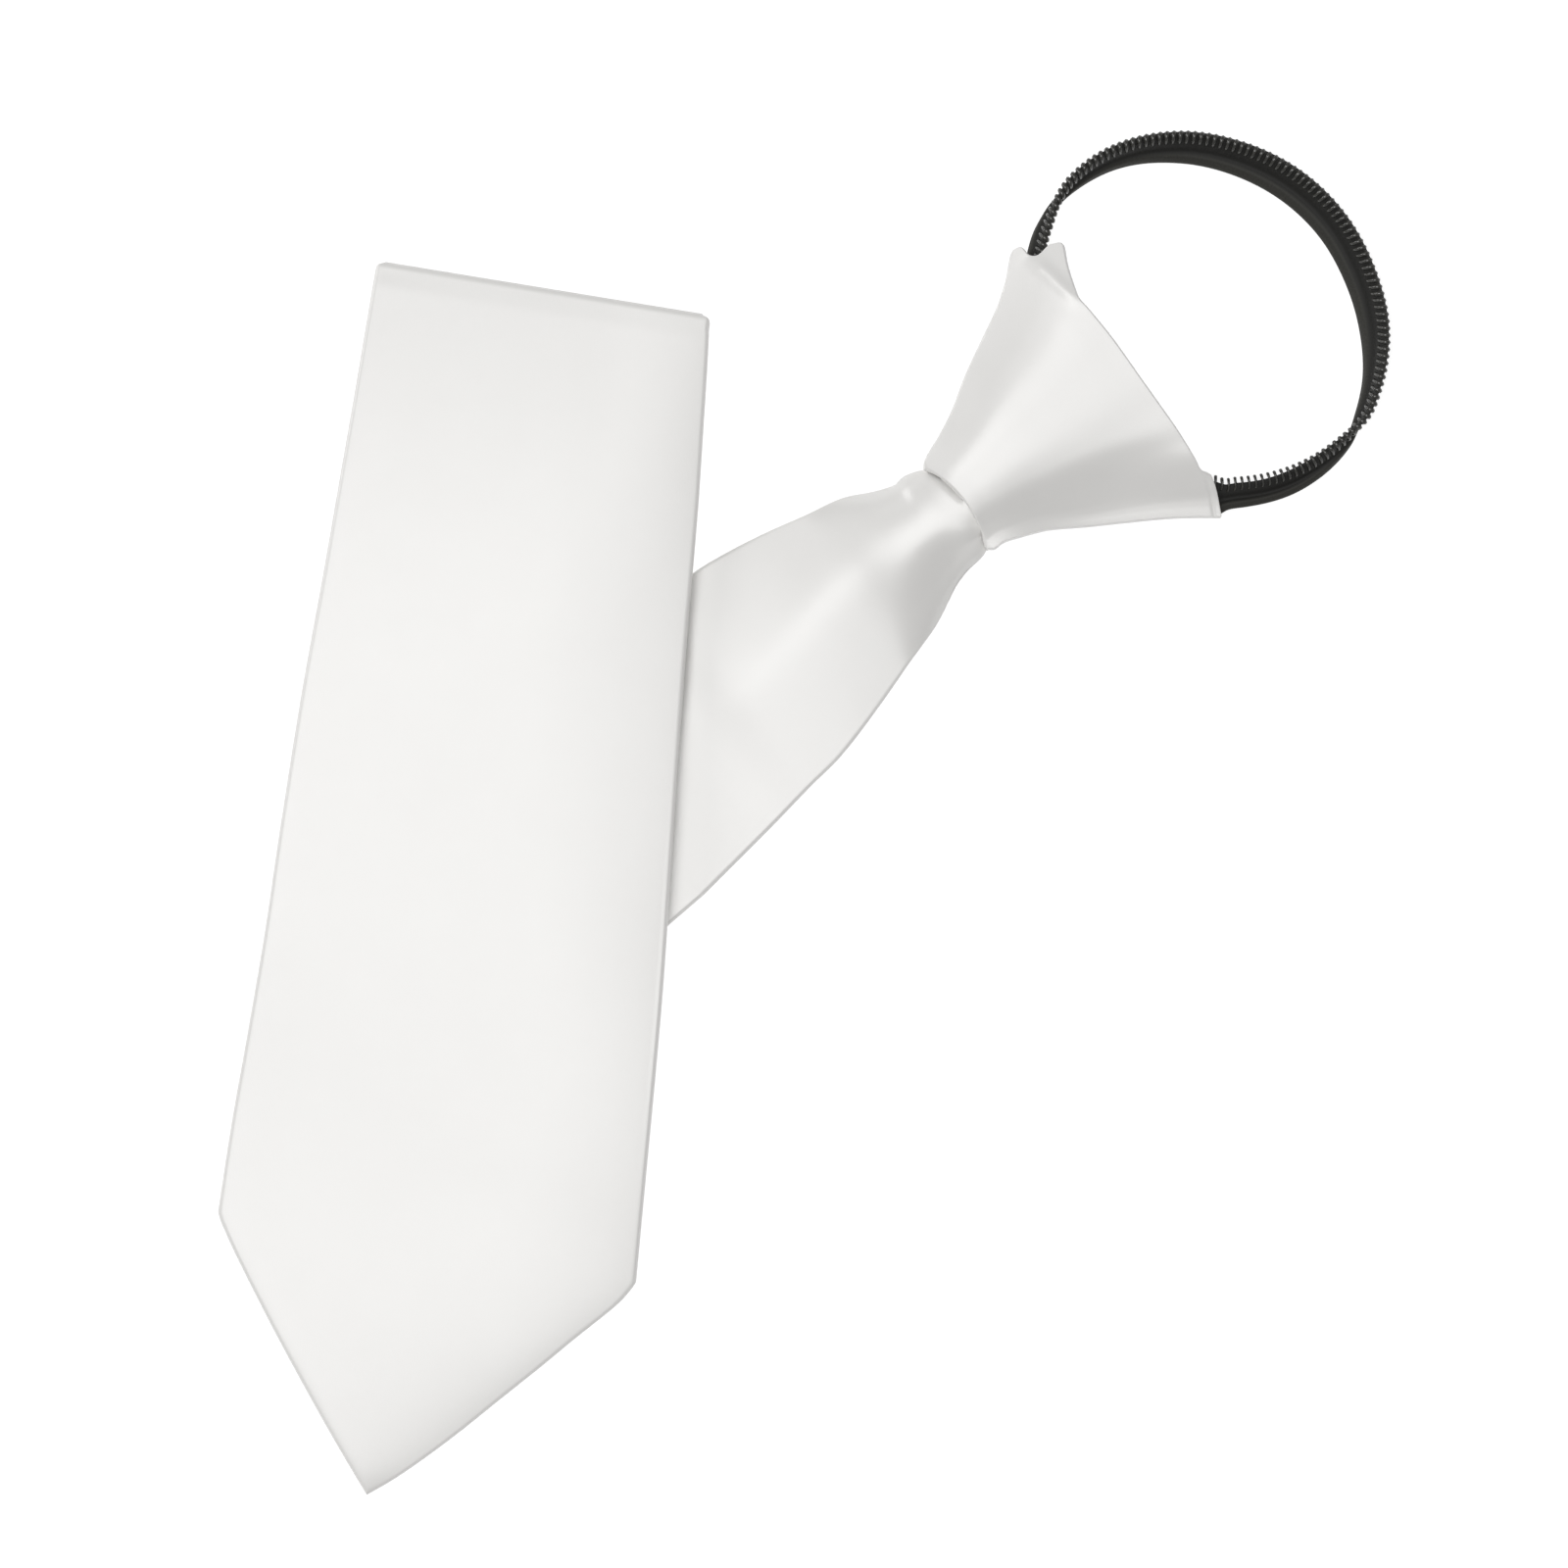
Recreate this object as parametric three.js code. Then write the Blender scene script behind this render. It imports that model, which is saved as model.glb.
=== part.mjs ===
// A ready-tied zipper necktie, lying folded on a table: a satin blade doubled back on itself,
// a made-up knot, and a neck loop of zip tape whose two ends meet at a slider inside the knot.
// Millimetres. +X is to the right and +Y up the page as the tie lies, +Z is away from the table.
import * as THREE from "three";

// Driving dimensions
const bladeWidth = 80; // across the shoulders, above the point
const topFoldWidth = 64.9; // across the fold at the top of the front blade
const bandThickness = 2.6; // satin, interlining and the folded-in back, at the middle
const layerGap = 0.4; // air between two layers that lie on each other
const pointLength = 48.2; // from the shoulders to the tip
const knotLength = 44; // from the throat to the top of the knot
const wrapWall = 1.1; // cloth of the knot's outer wrap
const tapeThickness = 1.4; // zip tape, folded double
const toothPitch = 1.316; // along the coil
const toothLength = 1.3; // how far the teeth stand out past the tape
const coilBar = 1.1; // the part of the coil that is sewn along the tape
const coilGap = 0.4; // between the tape's edge and the coil's bar

// Where the main points lie on the table
const topFoldMiddle = new THREE.Vector2(-49.55, 99.96);
const shoulderMiddle = new THREE.Vector2(-71.78, -83.1);
const creaseMiddle = new THREE.Vector2(-56.5, -14.1);
const throat = new THREE.Vector2(29.12, 57.92);
const loopCentre = new THREE.Vector2(77.56, 92.45);

// Directions on the table, in degrees anticlockwise from +X
const topFoldSlope = -9.4;
const shoulderSlope = -8.58;
const tipDirection = -103.7;
const creaseSlope = -26.2;
const neckDirection = 215.25; // the neck run, leaving the throat
const knotDirection = 39; // the knot, from the throat to its top

const halfThickness = bandThickness / 2;
const layerStep = bandThickness + layerGap;
const foldRadius = layerStep / 2; // of the middle of the cloth, where it turns back

function heading(degrees) {
  const angle = THREE.MathUtils.degToRad(degrees);
  return new THREE.Vector2(Math.cos(angle), Math.sin(angle));
}

function smooth(value, low, high) {
  return THREE.MathUtils.smoothstep(value, low, high);
}

// A smooth curve through every column of a table, read at one value of the key column.
function readTable(rows, key, at) {
  let i = rows.findIndex((row) => row[key] > at) - 1;
  if (i < 0) i = at < rows[0][key] ? 0 : rows.length - 2;
  const [a, b] = [rows[i], rows[i + 1]];
  const before = rows[Math.max(i - 1, 0)];
  const after = rows[Math.min(i + 2, rows.length - 1)];
  const span = b[key] - a[key];
  const t = THREE.MathUtils.clamp((at - a[key]) / span, 0, 1);
  const result = {};
  for (const column of Object.keys(a)) {
    const slopeA = ((b[column] - before[column]) / (b[key] - before[key])) * span;
    const slopeB = ((after[column] - a[column]) / (after[key] - a[key])) * span;
    const bend = (1 - t) * (1 - t) * t * slopeA - (1 - t) * t * t * slopeB;
    result[column] = (1 + 2 * t) * (1 - t) ** 2 * a[column] + t * t * (3 - 2 * t) * b[column] + bend;
  }
  result[key] = at;
  return result;
}

// Joins rings of points into one closed body. The rings are closed by ladders of triangles at
// both ends, or the last ring joins the first when the body is itself a ring.
function joinRings(rings, endless = false) {
  const count = rings[0].length;
  const positions = rings.flat().flatMap((p) => [p.x, p.y, p.z]);
  const triangles = [];
  const addTriangle = (...corners) => triangles.push(corners);
  const runs = endless ? rings.length : rings.length - 1;
  for (let i = 0; i < runs; i++) {
    for (let j = 0; j < count; j++) {
      const a = i * count + j;
      const b = i * count + ((j + 1) % count);
      const c = ((i + 1) % rings.length) * count + ((j + 1) % count);
      const d = ((i + 1) % rings.length) * count + j;
      addTriangle(a, b, c);
      addTriangle(a, c, d);
    }
  }
  const closeEnd = (start, turned) => {
    const at = (j) => start + ((j + count) % count);
    const add = turned ? (a, b, c) => addTriangle(a, c, b) : addTriangle;
    for (let j = 0; j < count / 2 - 1; j++) {
      add(at(j), at(-j - 1), at(j + 1));
      if (j + 1 !== count - j - 2) add(at(j + 1), at(-j - 1), at(-j - 2));
    }
  };
  if (!endless) {
    closeEnd(0, false);
    closeEnd((rings.length - 1) * count, true);
  }
  const geometry = new THREE.BufferGeometry();
  geometry.setAttribute("position", new THREE.Float32BufferAttribute(positions, 3));
  geometry.setIndex(triangles.flat());
  return facingOut(geometry);
}

// Turns every triangle round where the body's signed volume comes out negative.
function facingOut(geometry) {
  const place = geometry.getAttribute("position");
  const index = geometry.getIndex().array;
  const corner = [0, 1, 2].map(() => new THREE.Vector3());
  let volume = 0;
  for (let i = 0; i < index.length; i += 3) {
    corner.forEach((p, k) => p.fromBufferAttribute(place, index[i + k]));
    volume += corner[0].dot(corner[1].clone().cross(corner[2])) / 6;
  }
  if (volume < 0) {
    for (let i = 0; i < index.length; i += 3) {
      [index[i + 1], index[i + 2]] = [index[i + 2], index[i + 1]];
    }
  }
  geometry.computeVertexNormals();
  return geometry;
}

// The blade

const foldAlong = heading(topFoldSlope);
const foldLeft = topFoldMiddle.clone().addScaledVector(foldAlong, -topFoldWidth / 2);
const foldRight = topFoldMiddle.clone().addScaledVector(foldAlong, topFoldWidth / 2);
const shoulderAlong = heading(shoulderSlope);
const shoulderLeft = shoulderMiddle.clone().addScaledVector(shoulderAlong, -bladeWidth / 2);
const shoulderRight = shoulderMiddle.clone().addScaledVector(shoulderAlong, bladeWidth / 2);
const tip = shoulderMiddle.clone().addScaledVector(heading(tipDirection), pointLength);

const creaseAlong = heading(creaseSlope);
const creaseInward = heading(creaseSlope + 90); // towards both runs that meet at the crease
const creaseHalf = 29; // half of the crease, which the band crosses on the slant
const creaseLeft = creaseMiddle.clone().addScaledVector(creaseAlong, -creaseHalf);
const creaseRight = creaseMiddle.clone().addScaledVector(creaseAlong, creaseHalf);

const neckAlong = heading(neckDirection);
const neckUpper = heading(neckDirection - 90);

// The neck run by its distance from the throat: how far each edge stands off the line from the
// throat, how far the cloth curls over from its middle to an edge, in degrees, and the height of
// the middle of the cloth along its crest and its edges.
const neckRows = [
  { reach: -8, lower: 7.6, upper: 6.8, curl: 120, crest: 9.9, edge: 5.4 },
  { reach: -1.6, lower: 7.8, upper: 7, curl: 120, crest: 10.1, edge: 5.4 },
  { reach: -0.4, lower: 7.7, upper: 6.9, curl: 118, crest: 10.2, edge: 5.2 },
  { reach: 0.5, lower: 8.4, upper: 7.1, curl: 117, crest: 10.3, edge: 5.1 },
  { reach: 1.3, lower: 9.8, upper: 8.6, curl: 115, crest: 10.5, edge: 4.9 },
  { reach: 2.2, lower: 10.7, upper: 10.6, curl: 113, crest: 10.7, edge: 4.7 },
  { reach: 3, lower: 10.9, upper: 11.1, curl: 112, crest: 10.7, edge: 4.5 },
  { reach: 5.6, lower: 11.3, upper: 10.9, curl: 108, crest: 10.6, edge: 4 },
  { reach: 11.2, lower: 13.7, upper: 12.3, curl: 96, crest: 9.9, edge: 2.7 },
  { reach: 16.8, lower: 16.4, upper: 14.6, curl: 80, crest: 8.9, edge: 1.9 },
  { reach: 22.4, lower: 18.9, upper: 16.2, curl: 66, crest: 7.7, edge: 1.5 },
  { reach: 33.6, lower: 22.9, upper: 18.3, curl: 45, crest: 5.2, edge: 1.3 },
  { reach: 44.8, lower: 26.2, upper: 19.5, curl: 28, crest: 3.2, edge: 1.3 },
  { reach: 53, lower: 27.5, upper: 19.4, curl: 18, crest: 2.1, edge: 1.3 },
  { reach: 63, lower: 29.2, upper: 19.2, curl: 8, crest: 1.4, edge: 1.3 },
  { reach: 81.2, lower: 32.2, upper: 18.8, curl: 1, crest: 1.3, edge: 1.3 },
];

function neckEdge(side, row) {
  const middle = throat.clone().addScaledVector(neckAlong, row.reach);
  return middle.addScaledVector(neckUpper, side > 0 ? row.upper : -row.lower);
}

const neckFlat = neckRows[neckRows.length - 1];
const neckFlatUpper = neckEdge(1, neckFlat);
const neckFlatLower = neckEdge(-1, neckFlat);

// How many layers lie under the front blade or the back run at a place on the table: one more
// where the neck run is below, and none past the crease, where the blade comes down to the table.
const stepUp = 60; // the length over which a layer climbs onto the neck run
const stepDown = 90; // the length over which the front blade comes down past the crease
const rampEase = 0.35; // the share of a ramp that bends at each of its ends
const neckUnderDirection = heading(218.7);

// From 0 to 1, even in its middle and bending only near its ends.
function gentleRamp(value, low, high) {
  const t = THREE.MathUtils.clamp((value - low) / (high - low), 0, 1);
  const bend = (Math.min(t / rampEase, 1) ** 2 * rampEase) / 2;
  const even = THREE.MathUtils.clamp(t - rampEase, 0, 1 - 2 * rampEase);
  const tail = Math.max((t - 1 + rampEase) / rampEase, 0);
  return (bend + even + (tail - tail ** 2 / 2) * rampEase) / (1 - rampEase);
}

function layersUnder(place, ownLayers) {
  const fromNeck = place.clone().sub(creaseLeft).cross(neckUnderDirection.clone().negate());
  const climb = gentleRamp(fromNeck, -stepUp, 0);
  const pastCrease = -place.clone().sub(creaseMiddle).dot(creaseInward);
  return (ownLayers + climb) * (1 - gentleRamp(pastCrease, foldRadius, stepDown));
}

// Places across a row, from -1 at its left edge to 1 at its right one, with the half thickness at
// each: the two edges are rounded, so the points crowd there.
const edgeTurns = [0, 30, 60, 90].map(THREE.MathUtils.degToRad);
const innerSteps = 8;
function acrossRow(halfWidth) {
  const radius = Math.min(halfThickness, 0.9 * halfWidth);
  const edge = edgeTurns.map((turn) => ({
    at: -1 + (radius * (1 - Math.cos(turn))) / halfWidth,
    half: radius * Math.sin(turn),
  }));
  const start = edge[edge.length - 1].at;
  const inner = [];
  for (let i = 1; i < innerSteps; i++) {
    inner.push({ at: start - (2 * start * i) / innerSteps, half: radius });
  }
  const mirrored = edge.map(({ at, half }) => ({ at: -at, half })).reverse();
  return [...edge, ...inner, ...mirrored];
}

// A row of points of the middle of the cloth between two places on the table.
function flatRow(left, right, heightAt) {
  return acrossRow(left.distanceTo(right) / 2).map(({ at, half }) => {
    const place = left.clone().lerp(right, (at + 1) / 2);
    return { point: new THREE.Vector3(place.x, place.y, heightAt(place)), half };
  });
}

// The rows where the cloth turns back: half a turn about a line parallel to the fold.
const turnSteps = 8;
const cornerDraw = 1.1; // how far a fold's corners are drawn in
function turnRows(left, right, outward, heightAt) {
  const rows = [];
  for (let i = 0; i <= turnSteps; i++) {
    const turn = Math.PI * (0.5 - i / turnSteps);
    const out = outward.clone().multiplyScalar(foldRadius * Math.cos(turn));
    const rise = foldRadius * (1 + Math.sin(turn));
    const along = right.clone().sub(left).normalize().multiplyScalar(cornerDraw * Math.cos(turn) ** 3);
    const [a, b] = [left.clone().add(out).add(along), right.clone().add(out).sub(along)];
    rows.push(flatRow(a, b, (place) => heightAt(place) + rise));
  }
  return rows;
}

// How far the point's two edges bow out, by the part of the way from the shoulders to the tip.
const pointBows = [
  { part: 0.03, left: 0.1, right: 0.9 },
  { part: 0.1, left: 0.3, right: 2.2 },
  { part: 0.28, left: 0.6, right: 2.4 },
  { part: 0.5, left: 0.8, right: 2.5 },
  { part: 0.72, left: 0.7, right: 2.3 },
  { part: 0.88, left: 0.4, right: 1.4 },
  { part: 0.96, left: 0.1, right: 0.5 },
  { part: 0.995, left: 0, right: 0 },
];

function bladeRows() {
  const rows = [];
  const frontHeight = (place) => halfThickness + layerStep * layersUnder(place, 1);
  const backHeight = (place) => halfThickness + layerStep * layersUnder(place, 0);

  // The point, from its tip to the shoulders.
  for (const { part, left, right } of [...pointBows].reverse()) {
    const leftEdge = shoulderLeft.clone().lerp(tip, part).addScaledVector(shoulderAlong, -left);
    const rightEdge = shoulderRight.clone().lerp(tip, part).addScaledVector(shoulderAlong, right);
    rows.push(flatRow(leftEdge, rightEdge, frontHeight));
  }

  // The front blade, from its shoulders to the fold at its top.
  const turnInset = foldRadius + halfThickness;
  const turnShare = turnInset / topFoldMiddle.distanceTo(shoulderMiddle);
  const frontEdge = (share) => [
    foldLeft.clone().lerp(shoulderLeft, share),
    foldRight.clone().lerp(shoulderRight, share),
  ];
  const frontSteps = 13;
  for (let i = 0; i < frontSteps; i++) {
    const share = 1 - (i / frontSteps) * (1 - turnShare);
    rows.push(flatRow(...frontEdge(share), frontHeight));
  }

  // The fold at the top, over and down to the table.
  const foldOutward = heading(topFoldSlope + 90);
  const [turnLeft, turnRight] = frontEdge(turnShare);
  rows.push(...turnRows(turnLeft, turnRight, foldOutward, backHeight));

  // The back run, from the fold down to the crease.
  const creaseInset = creaseInward.clone().multiplyScalar(turnInset);
  const creaseTurnLeft = creaseLeft.clone().add(creaseInset);
  const creaseTurnRight = creaseRight.clone().add(creaseInset);
  const backSteps = 8;
  for (let i = 1; i < backSteps; i++) {
    const left = turnLeft.clone().lerp(creaseTurnLeft, i / backSteps);
    const right = turnRight.clone().lerp(creaseTurnRight, i / backSteps);
    rows.push(flatRow(left, right, backHeight));
  }

  // The crease under the front blade, where the band turns below itself.
  const creaseOutward = creaseInward.clone().negate();
  rows.push(...turnRows(creaseTurnLeft, creaseTurnRight, creaseOutward, () => halfThickness));

  // The neck run, flat at first, then curled up more and more into the throat.
  const neckSteps = 4;
  for (let i = 1; i < neckSteps; i++) {
    const left = creaseTurnLeft.clone().lerp(neckFlatUpper, i / neckSteps);
    const right = creaseTurnRight.clone().lerp(neckFlatLower, i / neckSteps);
    rows.push(flatRow(left, right, () => halfThickness));
  }
  const reaches = [81.2, 71, 62, 54, 47, 40, 33.6, 27, 21, 16, 11.2, 7.5, 4.5, 2.2, 1.3, 0.5, -0.4, -1.6, -8];
  rows.push(...reaches.map(curledRow));
  return rows;
}

// A row of the neck run: the cloth lies on an arc that turns through the curl on each side of the
// crest, so past a quarter turn the edges are tucked back under.
function curledRow(reach) {
  const row = readTable(neckRows, "reach", reach);
  const curl = THREE.MathUtils.degToRad(row.curl);
  const widest = Math.sin(Math.min(curl, Math.PI / 2));
  const rise = (row.crest - row.edge) / (1 - Math.cos(curl));
  const middle = throat.clone().addScaledVector(neckAlong, reach);
  return acrossRow((row.lower + row.upper) / 2).map(({ at, half }) => {
    const side = (at < 0 ? row.upper : row.lower) - halfThickness * widest;
    const out = (side * Math.sin(at * curl)) / widest;
    const place = middle.clone().addScaledVector(neckUpper, -out);
    const height = row.crest - rise * (1 - Math.cos(at * curl));
    return { point: new THREE.Vector3(place.x, place.y, height), half };
  });
}

// Gives the middle of the cloth its thickness, to both sides along the surface's normal.
function thicken(rows) {
  return rows.map((row, i) => {
    const before = rows[Math.max(i - 1, 0)];
    const after = rows[Math.min(i + 1, rows.length - 1)];
    const upper = [];
    const lower = [];
    row.forEach(({ point, half }, j) => {
      const across = row[Math.min(j + 1, row.length - 1)].point.clone().sub(row[Math.max(j - 1, 0)].point);
      const along = after[j].point.clone().sub(before[j].point);
      const normal = across.cross(along).normalize();
      upper.push(point.clone().addScaledVector(normal, half));
      lower.push(point.clone().addScaledVector(normal, -half));
    });
    return [...upper, ...lower.slice(1, -1).reverse()];
  });
}

function makeBlade() {
  return joinRings(thicken(bladeRows()));
}

// The knot

// Rings of the wrap, from the throat to the top. Each ring crosses the knot on a bowed line: how
// far along the knot its left end, middle and right end lie, how far its ends stand off the
// knot's middle, and the heights of its crown and its underside.
const wrapRows = [
  { ring: 0, left: 0.2, middle: 2.2, right: -0.2, toLeft: 9.9, toRight: 9.9, crown: 13.4, base: 1.2 },
  { ring: 1, left: 1.9, middle: 3.8, right: 1.5, toLeft: 11.5, toRight: 10.9, crown: 13.9, base: 0.8 },
  { ring: 2, left: 5.6, middle: 7.5, right: 5.2, toLeft: 12.7, toRight: 11.9, crown: 14.4, base: 0.3 },
  { ring: 3, left: 11.2, middle: 13, right: 10.8, toLeft: 15.2, toRight: 14.2, crown: 14.9, base: 0 },
  { ring: 4, left: 17.7, middle: 19.6, right: 17.2, toLeft: 18.9, toRight: 18.5, crown: 15.2, base: 0 },
  { ring: 5, left: 24.3, middle: 26.1, right: 23.5, toLeft: 22.3, toRight: 22.7, crown: 15.3, base: 0 },
  { ring: 6, left: 30.8, middle: 32.7, right: 29.5, toLeft: 25.5, toRight: 26.8, crown: 15.2, base: 0 },
  { ring: 7, left: 35.5, middle: 37.9, right: 33.8, toLeft: 28.6, toRight: 29.9, crown: 15, base: 0 },
  { ring: 8, left: 38.8, middle: 41.4, right: 36.8, toLeft: 31.1, toRight: 31.9, crown: 14.7, base: 0.1 },
  { ring: 9, left: 42, middle: knotLength, right: 38.8, toLeft: 30.9, toRight: 32.4, crown: 14.4, base: 0.4 },
];

// The wrap's upper face across it, from its right edge to its left one: its lift from the height
// of the edges to the crown, at the throat, in the body and at the top. The crest lies to the
// left of the middle, and the right flank is the long steep one.
const liftRows = [
  { side: -1, throat: 0, body: 0, top: 0 },
  { side: -0.985, throat: 0.22, body: 0.12, top: 0.16 },
  { side: -0.95, throat: 0.42, body: 0.23, top: 0.3 },
  { side: -0.88, throat: 0.6, body: 0.34, top: 0.4 },
  { side: -0.8, throat: 0.72, body: 0.43, top: 0.47 },
  { side: -0.6, throat: 0.88, body: 0.66, top: 0.62 },
  { side: -0.45, throat: 0.94, body: 0.82, top: 0.78 },
  { side: -0.3, throat: 0.97, body: 0.9, top: 0.89 },
  { side: -0.05, throat: 0.98, body: 0.95, top: 0.95 },
  { side: 0.2, throat: 1, body: 0.985, top: 0.985 },
  { side: 0.37, throat: 1, body: 1, top: 1 },
  { side: 0.5, throat: 0.98, body: 0.985, top: 0.99 },
  { side: 0.65, throat: 0.92, body: 0.91, top: 0.93 },
  { side: 0.8, throat: 0.78, body: 0.79, top: 0.82 },
  { side: 0.9, throat: 0.61, body: 0.66, top: 0.67 },
  { side: 0.97, throat: 0.35, body: 0.4, top: 0.4 },
  { side: 1, throat: 0, body: 0, top: 0 },
];

const knotAlong = heading(knotDirection);
const knotLeft = heading(knotDirection + 90);

// From the knot's own frame (along, to its left, up) to the table.
function fromKnot(along, left, height) {
  const place = throat.clone().addScaledVector(knotAlong, along).addScaledVector(knotLeft, left);
  return new THREE.Vector3(place.x, place.y, height);
}

const wrapSides = 28;
const edgeShare = 0.19; // how high the wrap is widest, as a share of the way up to its crown
function wrapRing(at, inset) {
  const row = readTable(wrapRows, "ring", at);
  const halfWidth = (row.toLeft + row.toRight) / 2;
  const centre = (row.toLeft - row.toRight) / 2;
  const slant = (row.left - row.right) / 2;
  const bow = (row.left + row.right) / 2 - row.middle;
  const base = Math.max(row.base, 0);
  const edgeHeight = base + edgeShare * (row.crown - base);
  const share = at / (wrapRows.length - 1);
  const nearThroat = 1 - smooth(share, 0, 0.45);
  const nearTop = smooth(share, 0.6, 1);
  const ring = [];
  for (let i = 0; i < wrapSides; i++) {
    const turn = (2 * Math.PI * i) / wrapSides;
    const across = Math.cos(turn);
    const section = readTable(liftRows, "side", across);
    const body = 1 - nearThroat - nearTop;
    const lift = section.throat * nearThroat + section.body * body + section.top * nearTop;
    const upper = edgeHeight + (row.crown - inset - edgeHeight) * lift;
    const lower = edgeHeight - (edgeHeight - base - inset) * Math.sqrt(Math.abs(Math.sin(turn)));
    const along = row.middle + slant * across + bow * across ** 2;
    ring.push(fromKnot(along, centre + (halfWidth - inset) * across, turn <= Math.PI ? upper : lower));
  }
  return ring;
}

function makeWrap() {
  const steps = 2 * (wrapRows.length - 1);
  const places = Array.from({ length: steps + 1 }, (_, i) => i / 2);
  const outer = places.map((at) => wrapRing(at, 0));
  const inner = places.map((at) => wrapRing(at, wrapWall)).reverse();
  return joinRings([...outer, ...inner], true);
}

// The inner roll, from the ear at the left, across the top of the knot, to the ear at the right.
const rollRows = [
  { at: 0, along: 46.7, left: 27.4, width: 0.6, depth: 0.4, height: 6 },
  { at: 0.03, along: 46.5, left: 26.9, width: 1.3, depth: 0.9, height: 6 },
  { at: 0.08, along: 45.8, left: 25.7, width: 1.9, depth: 1.1, height: 6 },
  { at: 0.16, along: 44.3, left: 23.1, width: 2.3, depth: 1.5, height: 6.1 },
  { at: 0.26, along: 42.4, left: 19.6, width: 2.7, depth: 2.2, height: 6.2 },
  { at: 0.4, along: 40, left: 12, width: 3.2, depth: 3.2, height: 6.4 },
  { at: 0.6, along: 38.6, left: 1, width: 3.4, depth: 3.8, height: 6.4 },
  { at: 0.8, along: 38, left: -10, width: 3, depth: 3, height: 6 },
  { at: 0.96, along: 38.4, left: -17.4, width: 1.8, depth: 1.8, height: 5.6 },
  { at: 1, along: 38.5, left: -18.2, width: 0.7, depth: 0.7, height: 5.6 },
];

const rollSides = 12;
function makeRoll() {
  const steps = 16;
  const rings = [];
  for (let i = 0; i <= steps; i++) {
    const at = 0.5 - 0.5 * Math.cos((Math.PI * i) / steps);
    const row = readTable(rollRows, "at", at);
    const [before, after] = [at - 0.01, at + 0.01].map((t) =>
      readTable(rollRows, "at", THREE.MathUtils.clamp(t, 0, 1)),
    );
    const run = new THREE.Vector2(after.along - before.along, after.left - before.left).normalize();
    const ring = [];
    for (let j = 0; j < rollSides; j++) {
      const turn = (2 * Math.PI * (j + 0.5)) / rollSides;
      const out = row.width * Math.cos(turn);
      const height = row.height + row.depth * Math.sin(turn);
      ring.push(fromKnot(row.along - run.y * out, row.left + run.x * out, height));
    }
    rings.push(ring);
  }
  return joinRings(rings);
}

// The zip

// The neck loop by the turn about its centre, in degrees: the distance of the band's middle from
// the centre, how much further out the tape's free edge lies than the teeth, how much higher the
// teeth lie than that edge, and the height of the edge. The loop starts and ends at the slider,
// its teeth face inwards near the knot, and it leans outwards along its far side.
const zipRows = [
  { turn: -137, reach: 41.2, spread: 4.6, rise: 0.4, rest: 7.3 },
  { turn: -128, reach: 38.2, spread: 4.6, rise: 0.7, rest: 7 },
  { turn: -115, reach: 34.7, spread: 4.8, rise: 1, rest: 5.6 },
  { turn: -100, reach: 31.7, spread: 4.6, rise: 1.3, rest: 4.1 },
  { turn: -80, reach: 31.5, spread: 4.7, rise: 1.7, rest: 3.3 },
  { turn: -60, reach: 32.8, spread: 4.2, rise: 3, rest: 2.1 },
  { turn: -40, reach: 33.4, spread: 1.2, rise: 5.2, rest: 1.2 },
  { turn: -20, reach: 32.5, spread: -2.2, rise: 6.2, rest: 0.9 },
  { turn: 0, reach: 31.1, spread: -4.4, rise: 5.3, rest: 0.9 },
  { turn: 20, reach: 30.1, spread: -5.2, rise: 4.7, rest: 0.9 },
  { turn: 40, reach: 30.3, spread: -5.6, rise: 4.3, rest: 0.9 },
  { turn: 60, reach: 31.2, spread: -6, rise: 3.8, rest: 0.9 },
  { turn: 80, reach: 32.8, spread: -5.7, rise: 4.1, rest: 0.9 },
  { turn: 100, reach: 35.1, spread: -4.8, rise: 4.9, rest: 0.9 },
  { turn: 120, reach: 37.3, spread: -2.9, rise: 6, rest: 1.2 },
  { turn: 140, reach: 37.8, spread: 0.1, rise: 5.9, rest: 2.4 },
  { turn: 148, reach: 36.9, spread: 1.6, rise: 5.3, rest: 3.4 },
  { turn: 158, reach: 35.2, spread: 2.8, rise: 4, rest: 4.6 },
  { turn: 172, reach: 34.4, spread: 3.8, rise: 2.4, rest: 5.6 },
  { turn: 190, reach: 36.4, spread: 4.4, rise: 1.2, rest: 7 },
  { turn: 209.5, reach: 41.4, spread: 4.6, rise: 0.4, rest: 7.3 },
];

// The band at one turn of the loop: its free edge, the direction from there to its teeth, the
// direction through its thickness, and its width.
function zipPlace(turn) {
  const row = readTable(zipRows, "turn", turn);
  const ray = heading(turn);
  const edge = loopCentre.clone().addScaledVector(ray, row.reach + row.spread / 2);
  const teeth = loopCentre.clone().addScaledVector(ray, row.reach - row.spread / 2);
  const free = new THREE.Vector3(edge.x, edge.y, row.rest);
  const tips = new THREE.Vector3(teeth.x, teeth.y, row.rest + row.rise);
  return { free, across: tips.clone().sub(free).normalize(), width: tips.distanceTo(free) };
}

function zipFrame(turn) {
  const place = zipPlace(turn);
  const [before, after] = [zipPlace(turn - 0.5), zipPlace(turn + 0.5)];
  const along = after.free.clone().sub(before.free).normalize();
  place.through = along.clone().cross(place.across).normalize();
  return place;
}

function zipPoint(frame, across, through) {
  return frame.free.clone().addScaledVector(frame.across, across).addScaledVector(frame.through, through);
}

const coilWidth = coilBar + toothLength;
const zipEnds = { first: zipRows[0].turn, last: zipRows[zipRows.length - 1].turn };

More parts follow.
